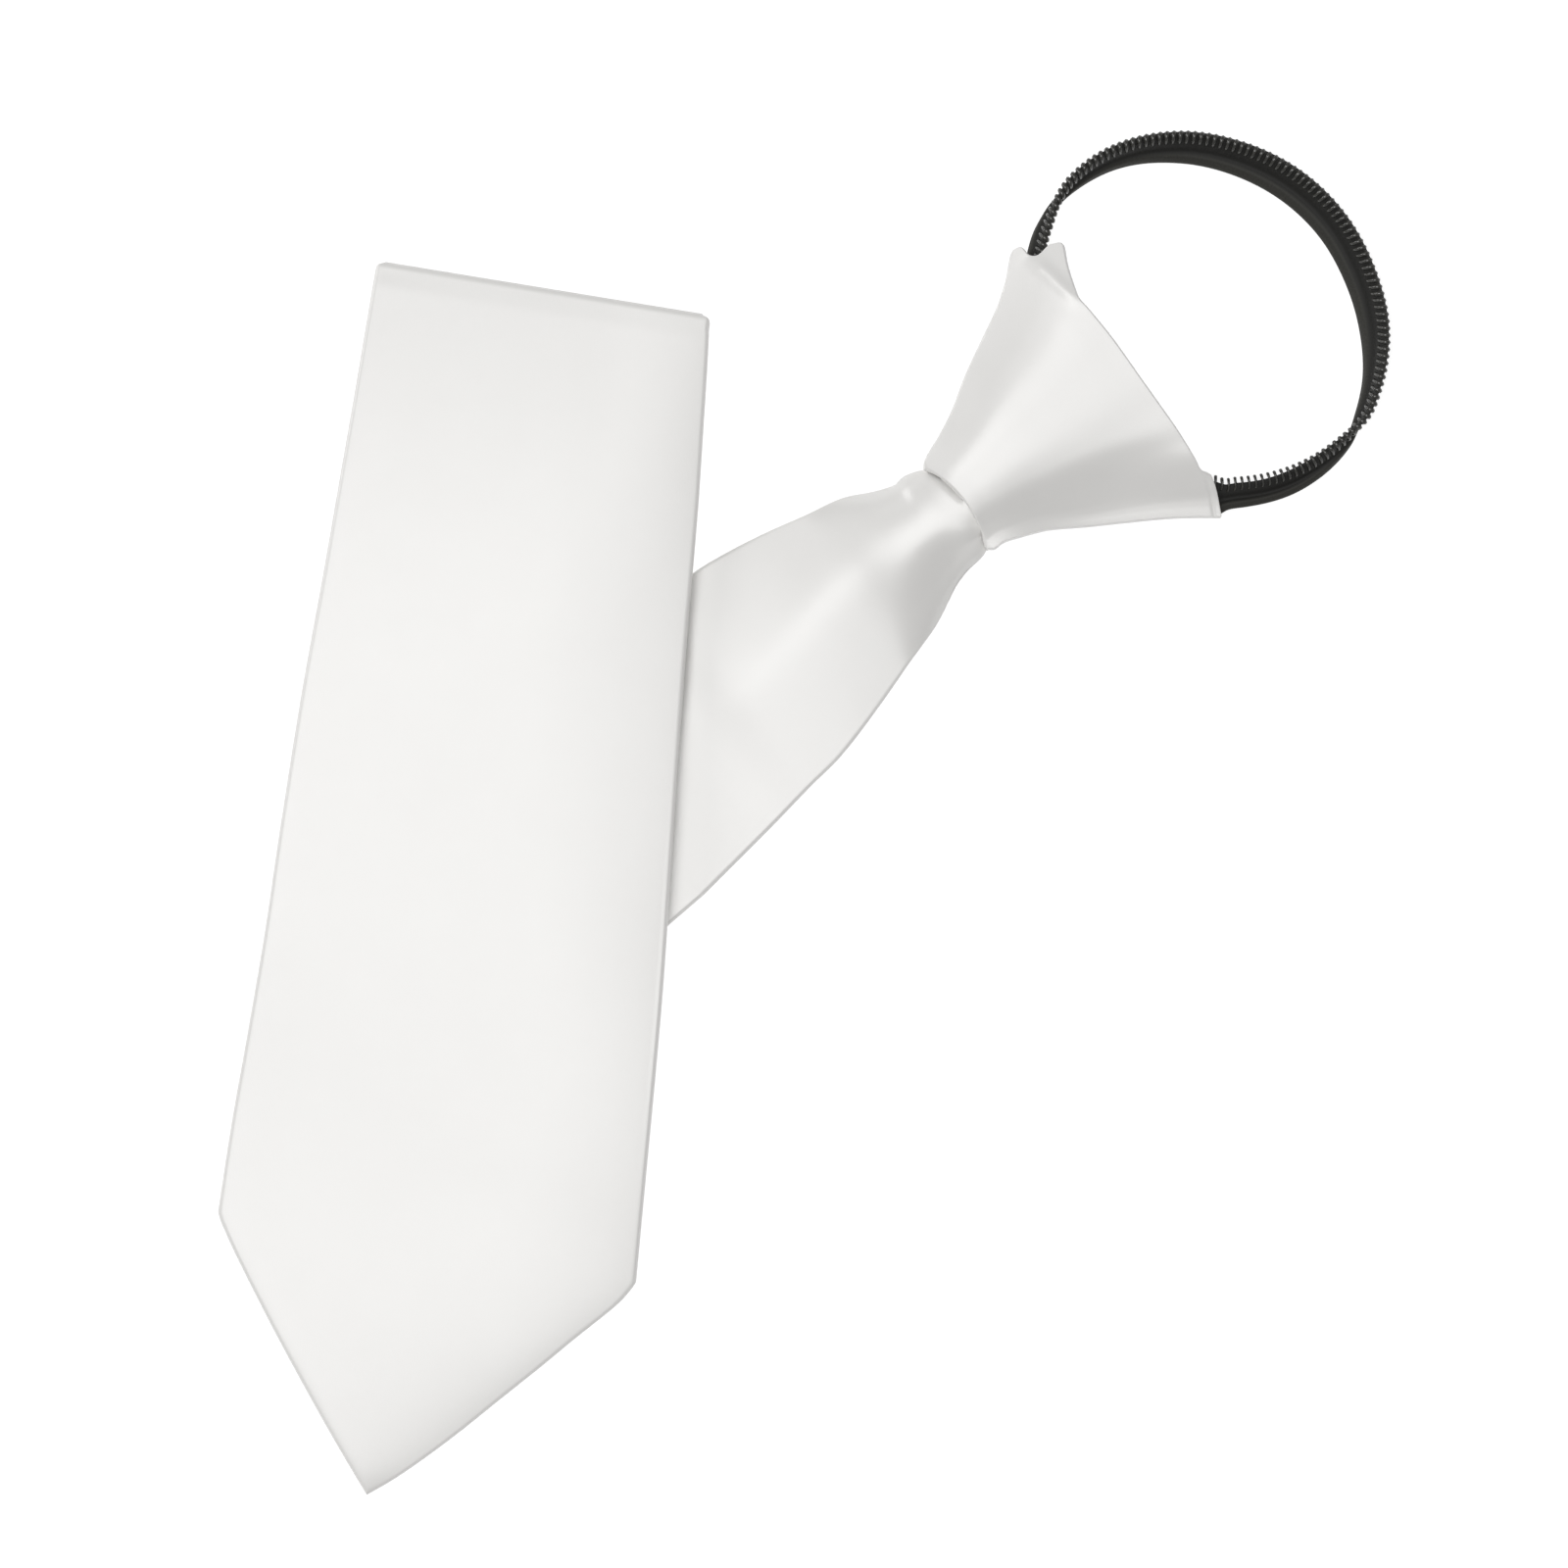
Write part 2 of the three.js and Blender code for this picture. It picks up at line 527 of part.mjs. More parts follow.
// The tape's section: a rolled free edge, a shallow groove beside it, then the flat sewn part.
function tapeSection(width) {
  const half = tapeThickness / 2;
  const end = width - coilWidth - coilGap;
  return [
    [0, half * 0.5],
    [0.45, half],
    [1.3, half],
    [1.9, half * 0.65],
    [end, half * 0.8],
    [end, -half * 0.8],
    [1.9, -half * 0.65],
    [1.3, -half],
    [0.45, -half],
    [0, -half * 0.5],
  ];
}

function makeTape() {
  const steps = 84;
  const rings = [];
  for (let i = 0; i <= steps; i++) {
    const frame = zipFrame(THREE.MathUtils.lerp(zipEnds.first, zipEnds.last, i / steps));
    rings.push(tapeSection(frame.width).map(([across, through]) => zipPoint(frame, across, through)));
  }
  return joinRings(rings);
}

// The turns of the loop at equal steps of length along the coil.
function coilTurns(from, to) {
  const samples = 1200;
  const lengths = [0];
  const turnAt = (i) => THREE.MathUtils.lerp(from, to, i / samples);
  const middle = (turn) => {
    const frame = zipPlace(turn);
    return frame.free.clone().addScaledVector(frame.across, frame.width - coilBar);
  };
  let last = middle(from);
  for (let i = 1; i <= samples; i++) {
    const next = middle(turnAt(i));
    lengths.push(lengths[i - 1] + next.distanceTo(last));
    last = next;
  }
  const teeth = Math.floor(lengths[samples] / toothPitch);
  return Array.from({ length: teeth }, (_, k) => {
    const wanted = (k + 0.5) * toothPitch;
    const i = lengths.findIndex((length) => length >= wanted);
    return turnAt(i - (lengths[i] - wanted) / (lengths[i] - lengths[i - 1]));
  });
}

// The coil is one comb: a bar along the tape with a tooth at each pitch.
const coilRun = { from: -104, to: 170 };
const barHalf = 0.55;
const toothHalf = 0.8;
const toothShare = 0.5; // of the pitch, at a tooth's root
const toothTip = 0.36; // of the pitch, across a tooth's flat end

function makeCoil() {
  const turns = coilTurns(coilRun.from, coilRun.to);
  const pitchTurn = (k) => (turns[Math.min(k + 1, turns.length - 1)] - turns[Math.max(k - 1, 0)]) / 2;
  const rings = [];
  turns.forEach((turn, k) => {
    const step = k === 0 || k === turns.length - 1 ? pitchTurn(k) * 2 : pitchTurn(k);
    const places = [
      { shift: -toothShare / 2, reach: coilBar, half: barHalf },
      { shift: -toothTip / 2, reach: coilWidth, half: toothHalf },
      { shift: toothTip / 2, reach: coilWidth, half: toothHalf },
      { shift: toothShare / 2, reach: coilBar, half: barHalf },
    ];
    for (const { shift, reach, half } of places) {
      const frame = zipFrame(turn + shift * step);
      const start = frame.width - coilWidth;
      rings.push([
        zipPoint(frame, start, half),
        zipPoint(frame, start + reach, half),
        zipPoint(frame, start + reach, -half),
        zipPoint(frame, start, -half),
      ]);
    }
  });
  return joinRings(rings);
}

// The slider, a flat body that both ends of the loop run up to inside the knot.
const slider = { along: 17.2, left: -1.6, length: 11, width: 9.9, thickness: 3.6, height: 7.4, chamfer: 1.2 };
function makeSlider() {
  const { length, width, thickness, chamfer } = slider;
  const outline = new THREE.Shape();
  outline.moveTo(-length / 2, -width / 4);
  outline.lineTo(-length / 2 + chamfer, -width / 2 + chamfer);
  outline.lineTo(length / 2 - chamfer, -width / 2);
  outline.lineTo(length / 2, -width / 2 + chamfer);
  outline.lineTo(length / 2, width / 2 - chamfer);
  outline.lineTo(length / 2 - chamfer, width / 2);
  outline.lineTo(-length / 2 + chamfer, width / 2 - chamfer);
  outline.lineTo(-length / 2, width / 4);
  outline.closePath();
  const geometry = new THREE.ExtrudeGeometry(outline, { depth: thickness, bevelEnabled: false });
  return geometry.translate(0, 0, -thickness / 2);
}

// The assembly

const satin = new THREE.MeshStandardMaterial({ color: 0xf2f1ee, roughness: 0.45, metalness: 0 });
const tapeCloth = new THREE.MeshStandardMaterial({ color: 0x2a2925, roughness: 0.85, metalness: 0 });
const nylon = new THREE.MeshStandardMaterial({ color: 0x24231f, roughness: 0.4, metalness: 0 });

const tie = new THREE.Group();
tie.name = "zipper_tie";

function addPiece(name, geometry, material) {
  const mesh = new THREE.Mesh(geometry, material);
  mesh.name = name;
  tie.add(mesh);
  return mesh;
}

addPiece("blade", makeBlade(), satin);
addPiece("knot_wrap", makeWrap(), satin);
addPiece("knot_roll", makeRoll(), satin);
addPiece("zip_tape", makeTape(), tapeCloth);
addPiece("zip_coil", makeCoil(), nylon);
const sliderMesh = addPiece("zip_slider", makeSlider(), nylon);
sliderMesh.position.copy(fromKnot(slider.along, slider.left, slider.height));
sliderMesh.rotation.z = THREE.MathUtils.degToRad(knotDirection);

export default tie;
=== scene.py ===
import math
import bmesh
import bpy
import numpy as np
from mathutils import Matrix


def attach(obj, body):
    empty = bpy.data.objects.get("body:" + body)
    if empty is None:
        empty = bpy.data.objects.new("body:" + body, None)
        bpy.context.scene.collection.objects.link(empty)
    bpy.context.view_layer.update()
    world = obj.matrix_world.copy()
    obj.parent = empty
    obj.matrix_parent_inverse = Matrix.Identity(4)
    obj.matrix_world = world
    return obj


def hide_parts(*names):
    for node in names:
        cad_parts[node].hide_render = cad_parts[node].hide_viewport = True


# A white satin zipper tie, lying folded, as seen from straight above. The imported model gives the
# frame, and each surface below is worked out in millimetres on the table and put there in metres.

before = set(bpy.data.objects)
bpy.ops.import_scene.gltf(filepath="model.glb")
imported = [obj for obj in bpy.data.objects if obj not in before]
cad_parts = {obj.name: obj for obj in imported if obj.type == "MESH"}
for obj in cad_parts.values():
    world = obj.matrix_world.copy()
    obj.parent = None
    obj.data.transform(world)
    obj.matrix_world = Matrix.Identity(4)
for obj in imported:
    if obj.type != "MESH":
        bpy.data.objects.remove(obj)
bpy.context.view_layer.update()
mm = 0.001
print("frame loaded:", ", ".join(sorted(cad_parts)))


# Curves and meshes

def heading(degrees):  # unit arrow on the table, anticlockwise from +X
    angle = math.radians(degrees)
    return np.array([math.cos(angle), math.sin(angle)])


def smoothStep(value, low, high):  # 0 below low, 1 above high, 3t^2 - 2t^3 between
    t = np.clip((value - low) / (high - low), 0, 1)
    return t * t * (3 - 2 * t)


def bump(value, middle, width):  # bell curve of height 1
    return np.exp(-(((value - middle) / width) ** 2))


# Cubic Hermite curve through every column of a table, its slopes those of the neighbours' chords.
def readTable(table, key, at):
    keys = np.array(table[key], float)
    at = np.clip(np.asarray(at, float), keys[0], keys[-1])
    i = np.clip(np.searchsorted(keys, at, side="right") - 1, 0, len(keys) - 2)
    before = np.maximum(i - 1, 0)
    after = np.minimum(i + 2, len(keys) - 1)
    span = keys[i + 1] - keys[i]
    t = (at - keys[i]) / span
    result = {}
    for column, values in table.items():
        v = np.array(values, float)
        slopeA = (v[i + 1] - v[before]) / (keys[i + 1] - keys[before]) * span
        slopeB = (v[after] - v[i]) / (keys[after] - keys[i]) * span
        ends = (1 + 2 * t) * (1 - t) ** 2 * v[i] + t * t * (3 - 2 * t) * v[i + 1]
        result[column] = ends + (1 - t) ** 2 * t * slopeA - (1 - t) * t * t * slopeB
    return result


# Quads over a grid of points (rows, columns, 3), joined round where it is closed, with a UV map
# of (across, along) in millimetres, and doubles merged where rows or columns meet.
def gridPiece(name, points, uv, closedRows=False, closedColumns=False):
    rows, columns = points.shape[:2]
    index = np.arange(rows * columns).reshape(rows, columns)
    if closedRows:
        index = np.vstack([index, index[:1]])
    if closedColumns:
        index = np.hstack([index, index[:, :1]])
    pick = [(slice(None, -1), slice(None, -1)), (slice(None, -1), slice(1, None))]
    pick += [(slice(1, None), slice(1, None)), (slice(1, None), slice(None, -1))]
    quads = np.stack([index[p] for p in pick], -1).reshape(-1, 4)
    corners = np.stack([uv[p] for p in pick], -2).reshape(-1, 2)
    mesh = bpy.data.meshes.new(name)
    mesh.vertices.add(rows * columns)
    mesh.vertices.foreach_set("co", (points * mm).astype(np.float32).ravel())
    mesh.loops.add(len(quads) * 4)
    mesh.loops.foreach_set("vertex_index", quads.astype(np.int32).ravel())
    mesh.polygons.add(len(quads))
    mesh.polygons.foreach_set("loop_start", np.arange(0, len(quads) * 4, 4, dtype=np.int32))
    mesh.update(calc_edges=True)
    layer = mesh.uv_layers.new(name="cloth")
    layer.data.foreach_set("uv", corners.astype(np.float32).ravel())
    tidyMesh(mesh)
    piece = bpy.data.objects.new(name, mesh)
    bpy.context.collection.objects.link(piece)
    return piece


def tidyMesh(mesh):  # merges doubles and turns every face outwards
    work = bmesh.new()
    work.from_mesh(mesh)
    bmesh.ops.remove_doubles(work, verts=work.verts, dist=2e-6)
    bmesh.ops.recalc_face_normals(work, faces=work.faces)
    work.to_mesh(mesh)
    work.free()
    mesh.shade_smooth()


def unit(vectors):
    length = np.linalg.norm(vectors, axis=-1, keepdims=True)
    return vectors / np.maximum(length, 1e-9)


def normalsOf(points):  # across x along, from the grid's own differences
    along, across = np.gradient(points, axis=(0, 1))
    return unit(np.cross(across, along))


# Camera

camera = {"lens": 180, "sensor": 36, "lookX": -3.64, "lookY": 5.66, "tableHeight": 4, "frameWidth": 298.65}


def makeCamera():
    data = bpy.data.cameras.new("camera")
    data.lens = camera["lens"]
    data.sensor_width = camera["sensor"]
    data.clip_start = 0.05
    data.clip_end = 20
    viewer = bpy.data.objects.new("camera", data)
    distance = camera["frameWidth"] * camera["lens"] / camera["sensor"]
    viewer.location = [v * mm for v in (camera["lookX"], camera["lookY"], camera["tableHeight"] + distance)]
    bpy.context.collection.objects.link(viewer)
    bpy.context.scene.camera = viewer


makeCamera()


# The blade: one satin band, folded over at the top and again at the crease below

blade = {
    "width": 80, "topFoldWidth": 64.3, "pointLength": 48.2, "thickness": 2.6, "layerGap": 0.4,
    "topFoldMiddle": (-49.41, 100.14), "topFoldSlope": -9.4,
    "shoulderMiddle": (-71.78, -83.1), "shoulderSlope": -8.58, "tipDirection": -103.7,
    "creaseMiddle": (-56.5, -14.1), "creaseSlope": -26.2, "creaseHalf": 29,
    "throat": (29.12, 57.92), "neckDirection": 215.25,
    "stepUp": 110, "stepDown": 130, "rampEase": 0.35, "neckUnderDirection": 218.7,
    "turnSquareness": 0.28, "cornerDraw": 1.3, "edgeWidth": 0.6,
    "sideRise": 0.05, "leftSoftness": 1.5, "rightSoftness": 2, "topSoftness": 0.8,
    "ridgeInside": 25, "ridgeRound": 3, "topEase": 60,
    "tipFrom": 170, "tipTo": 215, "tipRise": 0.9, "tipSoftness": 8,
    "leftLift": 0.12, "tipLift": 3, "liftSoftness": 4.5,
}
bladeRows = {  # rows of points in each stretch, and where the neck's rows start to lie closer
    "point": 56, "front": 130, "turn": 48, "back": 44, "crease": 16, "under": 12,
    "neck": 70, "throat": 84, "neckTo": 12, "throatFrom": 11.2,
}
pointBows = {  # how far the point's edges bow out, by the share of the way from shoulder to tip
    "part": [0, 0.03, 0.1, 0.25, 0.4, 0.55, 0.7, 0.82, 0.92, 1],
    "left": [-0.3, -0.1, 0.25, 0.6, 0.8, 0.8, 0.7, 0.5, 0.25, 0],
    "right": [0.45, 1.1, 1.95, 2, 2.2, 2.2, 2.25, 1.9, 1.2, 0],
}
frontBows = {  # shift of the front's edges to the right, by the share of the way from top fold to shoulders
    "part": [0, 0.06, 0.15, 0.2, 0.33, 0.45, 0.6, 0.7, 0.8, 0.9, 1],
    "left": [0, -0.01, 0.01, -0.04, -0.18, -0.51, -0.32, -0.03, -0.18, -0.46, -0.3],
    "right": [0, 0.29, 0.55, 0.66, 0.53, 0.71, 1.03, 1.21, 1.04, 0.74, 0.45],
}
neckRows = {  # by distance from the throat: half widths, curl in degrees, heights of crest and edges
    "reach": [-8, -3, -1.6, -0.4, 0.7, 1.8, 3.4, 4.9, 6.8, 9.2, 12.4, 16.8, 22.4, 33.6, 44.8, 53, 63, 81.2],
    "lower": [7.4, 7.8, 8.3, 9.2, 10, 10.4, 10.6, 10.8, 11.3, 12.2, 14, 16.65, 19.2, 23.1, 26.3, 27.5, 29.2,
              32.2],
    "upper": [6.8, 7.2, 7.6, 8.3, 9.3, 10, 10.6, 10.9, 10.6, 11.2, 12.5, 14.75, 16.4, 18.5, 19.6, 19.4, 19.2,
              18.8],
    "curl": [120, 120, 119, 118, 116, 114, 112, 110, 106, 101, 93, 80, 66, 45, 28, 18, 8, 1],
    "crest": [10.2, 10.5, 10.5, 10.5, 10.5, 10.5, 10.5, 10.45, 10.3, 10, 9.6, 8.9, 7.9, 6.3, 5, 4, 2.4, 1.3],
    "edge": [5.4, 5.4, 5.3, 5.2, 5, 4.8, 4.4, 4.1, 3.7, 3.2, 2.5, 1.9, 1.5, 1.3, 1.3, 1.3, 1.3, 1.3],
}
neckRoof = {  # past the throat the run is a low roof: where its ridge lies, and each side's fall
    "reach": [-8, 16, 22, 30, 40, 50, 63, 81.2],
    "ridge": [-2, -2, -1.2, -0.2, 2.2, 4, 4, 4],
    "upperFall": [0.21, 0.21, 0.21, 0.21, 0.17, 0.13, 0.05, 0],
    "lowerFall": [0.15, 0.155, 0.16, 0.135, 0.1, 0.08, 0.04, 0],
}
neckFolds = {  # a long dent in the lower flank, a fold that runs out of the throat, and the knot's gap
    "bulgeAt": 4.9, "roofEase": (12, 26),
    "dentDepth": 1.8, "dentAt": 0.68, "dentWidth": 0.33, "dentStart": (1, 7), "dentEnd": (10, 24),
    "foldDrop": 0.9, "foldStart": (-1.6, -5.2), "foldEnd": (12, -0.7), "foldSoftness": (1.2, 4.2),
    "foldBegins": (-3, -1), "foldFlank": (0.6, 0.95),
    "gapDepth": 2.2, "gapWidth": 0.65, "gapMiddle": -1.7, "gapBow": 0.025, "gapSide": (-0.5, 6),
}
frontRows = {  # the front's swell by distance below the top fold, its width in from the right edge
    "below": [0, 30, 60, 90, 120, 150, 190, 240],
    "rise": [0.7, 0.85, 1.2, 1.15, 1.1, 0.9, 1.35, 0.9],
    "width": [14, 16, 29, 27, 23, 20, 26, 20],
    "tilt": [0.036, 0.036, 0.018, 0.005, 0, 0, 0, 0],
}
layerStep = blade["thickness"] + blade["layerGap"]
foldRadius = layerStep / 2
halfThickness = blade["thickness"] / 2
topFoldMiddle = np.array(blade["topFoldMiddle"])
shoulderMiddle = np.array(blade["shoulderMiddle"])
creaseMiddle = np.array(blade["creaseMiddle"])
throat = np.array(blade["throat"])
foldLeft = topFoldMiddle - heading(blade["topFoldSlope"]) * blade["topFoldWidth"] / 2
foldRight = topFoldMiddle + heading(blade["topFoldSlope"]) * blade["topFoldWidth"] / 2
shoulderAlong = heading(blade["shoulderSlope"])
shoulderLeft = shoulderMiddle - shoulderAlong * blade["width"] / 2
shoulderRight = shoulderMiddle + shoulderAlong * blade["width"] / 2
bladeTip = shoulderMiddle + heading(blade["tipDirection"]) * blade["pointLength"]
creaseAlong = heading(blade["creaseSlope"])
creaseInward = heading(blade["creaseSlope"] + 90)
creaseLeft = creaseMiddle - creaseAlong * blade["creaseHalf"]
creaseRight = creaseMiddle + creaseAlong * blade["creaseHalf"]
neckAlong = heading(blade["neckDirection"])
neckUpper = heading(blade["neckDirection"] - 90)

acrossSteps = 64
rowShares = -np.cos(np.pi * np.arange(acrossSteps + 1) / acrossSteps)  # crowds at both edges


# A ramp from 0 to 1 that bends only near its ends: a share of the even slope and the rest smooth.
def gentleRamp(value, low, high):
    t = np.clip((value - low) / (high - low), 0, 1)
    ease = blade["rampEase"]
    bend = np.clip(t / ease, 0, 1) ** 2 * ease / 2 + np.clip(t - ease, 0, 1 - 2 * ease)
    tail = np.clip((t - 1 + ease) / ease, 0, 1)
    return (bend + (tail - tail ** 2 / 2) * ease) / (1 - ease)


# Layers under a place: one more over the neck run, and none past the crease.
def layersUnder(place, ownLayers):
    under = -heading(blade["neckUnderDirection"])
    rel = place - creaseLeft
    fromNeck = rel[..., 0] * under[1] - rel[..., 1] * under[0]
    climb = gentleRamp(fromNeck, -blade["stepUp"], 0)
    pastCrease = -((place - creaseMiddle) @ creaseInward)
    return (ownLayers + climb) * (1 - gentleRamp(pastCrease, foldRadius, blade["stepDown"]))


# Rows of places between left and right ends, (rows, across, 2).
def flatPlaces(left, right):
    return left[:, None] + (right - left)[:, None] * ((rowShares + 1) / 2)[None, :, None]


def mixed(a, b, shares):  # places at shares of the way from a to b
    return a[None] + (b - a)[None] * np.asarray(shares)[:, None]


def withHeight(places, height):  # (rows, across, 3)
    return np.dstack([places, np.broadcast_to(height, places.shape[:2])])


# Half a turn about a line parallel to the fold, pressed squarer than round, its corners drawn in.
# The swell of the face above comes in over its upper half.
def turnBlock(left, right, outward, steps, radius, liftAt, swellAt):
    turn = np.pi * (0.5 - np.arange(steps + 1) / steps)
    side, rise = np.maximum(np.cos(turn), 0)[:, None], np.sin(turn)[:, None]
    out = radius * side ** blade["turnSquareness"] * outward
    along = unit(right - left) * (blade["cornerDraw"] * side ** 3)
    places = flatPlaces(left + out + along, right + out - along)
    axis = halfThickness + foldRadius + liftAt(places)
    height = axis + radius * np.sign(rise) * np.abs(rise) ** 0.5
    return withHeight(places, height + swellAt(places) * np.maximum(rise, 0) ** 0.5)


# The neck run: each row lies on an arc that turns through the curl on each side of its crest.
def neckBlock(reaches):
    row = {k: v[:, None] for k, v in readTable(neckRows, "reach", reaches).items()}
    curl = np.radians(row["curl"])
    widest = np.sin(np.minimum(curl, np.pi / 2))
    rise = (row["crest"] - row["edge"]) / (1 - np.cos(curl))
    side = np.where(rowShares < 0, row["upper"], row["lower"]) - halfThickness * widest
    out = side * np.sin(rowShares * curl) / widest
    reach = np.asarray(reaches)[:, None]
    places = throat + neckAlong * reach[..., None] - neckUpper * out[..., None]
    # above its widest line the section keeps the full width of the bulge right into the throat
    bulge = readTable(neckRows, "reach", np.maximum(reaches, neckFolds["bulgeAt"]))["upper"][:, None]
    full = np.where(rowShares < 0, bulge - halfThickness * widest, side)
    level = np.sqrt(np.maximum(1 - (out * widest / full) ** 2, 0))
    above = np.cos(rowShares * curl) > 0
    arc = row["crest"] - rise * (1 - np.where(above, level, np.cos(rowShares * curl)))
    roof = {k: v[:, None] for k, v in readTable(neckRoof, "reach", reaches).items()}
    beyond = out - roof["ridge"]
    corner = np.sqrt(beyond ** 2 + blade["ridgeRound"] ** 2)
    fall = roof["lowerFall"] * (corner + beyond) / 2 + roof["upperFall"] * (corner - beyond) / 2
    height = arc + (row["crest"] - fall - arc) * smoothStep(reach, *neckFolds["roofEase"])
    return withHeight(places, height - np.where(above, neckRelief(reach, out, row["lower"]), 0))


# The dent is a bell curve across the lower flank; the fold drops the cloth below a line that is
# sharp at the throat and gone by its far end; the gap is a groove along the knot's lip, deepest at
# the upper edge.
def neckRelief(reach, out, lower):
    folds = neckFolds
    window = smoothStep(reach, *folds["dentStart"]) * (1 - smoothStep(reach, *folds["dentEnd"]))
    dent = folds["dentDepth"] * window * bump(out, folds["dentAt"] * lower, folds["dentWidth"] * lower)
    start, end = np.array(folds["foldStart"]), np.array(folds["foldEnd"])
    share = np.clip((reach - start[0]) / (end[0] - start[0]), 0, 1)
    below = out + start[1] + (end[1] - start[1]) * share
    sharp, soft = folds["foldSoftness"]
    drop = folds["foldDrop"] * (1 - share) * smoothStep(reach, *folds["foldBegins"])
    drop = drop * smoothStep(below, 0, sharp + (soft - sharp) * share)
    flankFrom, flankTo = folds["foldFlank"]
    drop = drop * (1 - smoothStep(out, flankFrom * lower, flankTo * lower))
    gap = bump(reach, folds["gapMiddle"] + folds["gapBow"] * out ** 2, folds["gapWidth"])
    return dent + drop + folds["gapDepth"] * smoothStep(-out, *folds["gapSide"]) * gap


def belowFold(places):  # distance below the top fold, square to it
    return -((places - topFoldMiddle) @ heading(blade["topFoldSlope"] + 90))


# The front's swell over its layers: it lifts by the rise and by an even tilt as far as a soft ridge,
# both eased in below the top fold, and droops as a parabola towards its right edge.
def frontSwell(places):
    downward = unit(shoulderRight - foldRight)
    rel = places - foldRight
    inside = rel[..., 0] * downward[1] - rel[..., 1] * downward[0]
    below = belowFold(places)
    row = readTable(frontRows, "below", below)
    toRidge = inside - blade["ridgeInside"]
    shortOfRidge = (toRidge - np.sqrt(toRidge ** 2 + blade["ridgeRound"] ** 2)) / 2
    tilted = row["tilt"] * (blade["ridgeInside"] + shortOfRidge)
    eased = 1 - np.clip(1 - below / blade["topEase"], 0, 1) ** 2
    droop = np.clip(1 - inside / row["width"], 0, 1) ** 2
    return (row["rise"] + tilted) * eased - row["rise"] * droop


# The middle of the band's thickness, row by row: the point, the front up to the top fold, the turn,
# the back run, the crease, the stretch under the front, and the neck run into the throat. Between
# its two ends each row is straight on the table, and its height is that of the layers under it.
def bladeMiddle():
    def lift(places):
        return layerStep * layersUnder(places, 0)

    def front(places):
        return halfThickness + layerStep * layersUnder(places, 1) + frontSwell(places)

    def level(places):
        return np.zeros(places.shape[:2])

    blocks = []

    # the point, from just short of the tip to the shoulders, its rows closer near the tip
    part = 1 - np.linspace(0.002, 1, bladeRows["point"]) ** 1.15
    bows = readTable(pointBows, "part", part)
    left = mixed(shoulderLeft, bladeTip, part) - shoulderAlong * bows["left"][:, None]
    right = mixed(shoulderRight, bladeTip, part) + shoulderAlong * bows["right"][:, None]
    places = flatPlaces(left, right)
    blocks.append(withHeight(places, front(places)))

    inset = foldRadius + halfThickness
    insetShare = inset / np.linalg.norm(topFoldMiddle - shoulderMiddle)
    share = np.linspace(1, insetShare, bladeRows["front"])[1:-1]  # the front blade, up to its top fold
    bows = readTable(frontBows, "part", share)
    left = mixed(foldLeft, shoulderLeft, share) + shoulderAlong * bows["left"][:, None]
    right = mixed(foldRight, shoulderRight, share) + shoulderAlong * bows["right"][:, None]
    places = flatPlaces(left, right)
    blocks.append(withHeight(places, front(places)))

    turnLeft = foldLeft + (shoulderLeft - foldLeft) * insetShare
    turnRight = foldRight + (shoulderRight - foldRight) * insetShare
    outward = heading(blade["topFoldSlope"] + 90)
    turns = []
    for radius in (foldRadius, foldRadius + halfThickness, foldRadius - halfThickness):
        turns.append(turnBlock(turnLeft, turnRight, outward, bladeRows["turn"], radius, lift, frontSwell))
    blocks.append(turns[0])

    creaseTurnLeft = creaseLeft + creaseInward * inset
    creaseTurnRight = creaseRight + creaseInward * inset
    share = np.linspace(0, 1, bladeRows["back"])[1:-1]  # the back run, down to the crease
    places = flatPlaces(mixed(turnLeft, creaseTurnLeft, share), mixed(turnRight, creaseTurnRight, share))
    blocks.append(withHeight(places, halfThickness + lift(places)))
    blocks.append(turnBlock(
        creaseTurnLeft, creaseTurnRight, -creaseInward, bladeRows["crease"], foldRadius, level, level
    ))

    flat = {k: v[-1] for k, v in neckRows.items()}
    middle = throat + neckAlong * flat["reach"]
    share = np.linspace(0, 1, bladeRows["under"])[1:-1]  # under the front, from the crease to the neck
    lowerEnd = middle - neckUpper * flat["lower"]
    upperEnd = middle + neckUpper * flat["upper"]
    places = flatPlaces(mixed(creaseTurnLeft, upperEnd, share), mixed(creaseTurnRight, lowerEnd, share))
    blocks.append(withHeight(places, halfThickness))
    far = np.linspace(flat["reach"], bladeRows["neckTo"], bladeRows["neck"])
    near = np.linspace(bladeRows["throatFrom"], neckRows["reach"][0], bladeRows["throat"])
    blocks.append(neckBlock(np.concatenate([far, near])))
    frontRowsEnd = len(blocks[0]) + len(blocks[1])
    return np.concatenate(blocks), frontRowsEnd, turns


# Distance of each point from the band's left and right edges, square to the edge, and its place
# across the band, walked along its row from the middle.
def edgeDistances(middle):
    steps = np.linalg.norm(np.diff(middle, axis=1), axis=2)
    walked = np.concatenate([np.zeros((len(middle), 1)), np.cumsum(steps, axis=1)], axis=1)
    width = walked[:, -1:]
    rowWay = unit(middle[:, -1] - middle[:, 0])
    square = []
    for edge in (middle[:, 0], middle[:, -1]):
        tangent = unit(np.gradient(edge, axis=0))
        square.append(np.linalg.norm(np.cross(tangent, rowWay), axis=1)[:, None])
    return walked * square[0], (width - walked) * square[1], walked - width / 2


def rounded(distance, radius):  # quarter circle of the radius, level past it
    t = np.clip(distance / radius, 0, 1)
    return radius * np.sqrt(np.maximum(1 - (1 - t) ** 2, 0))


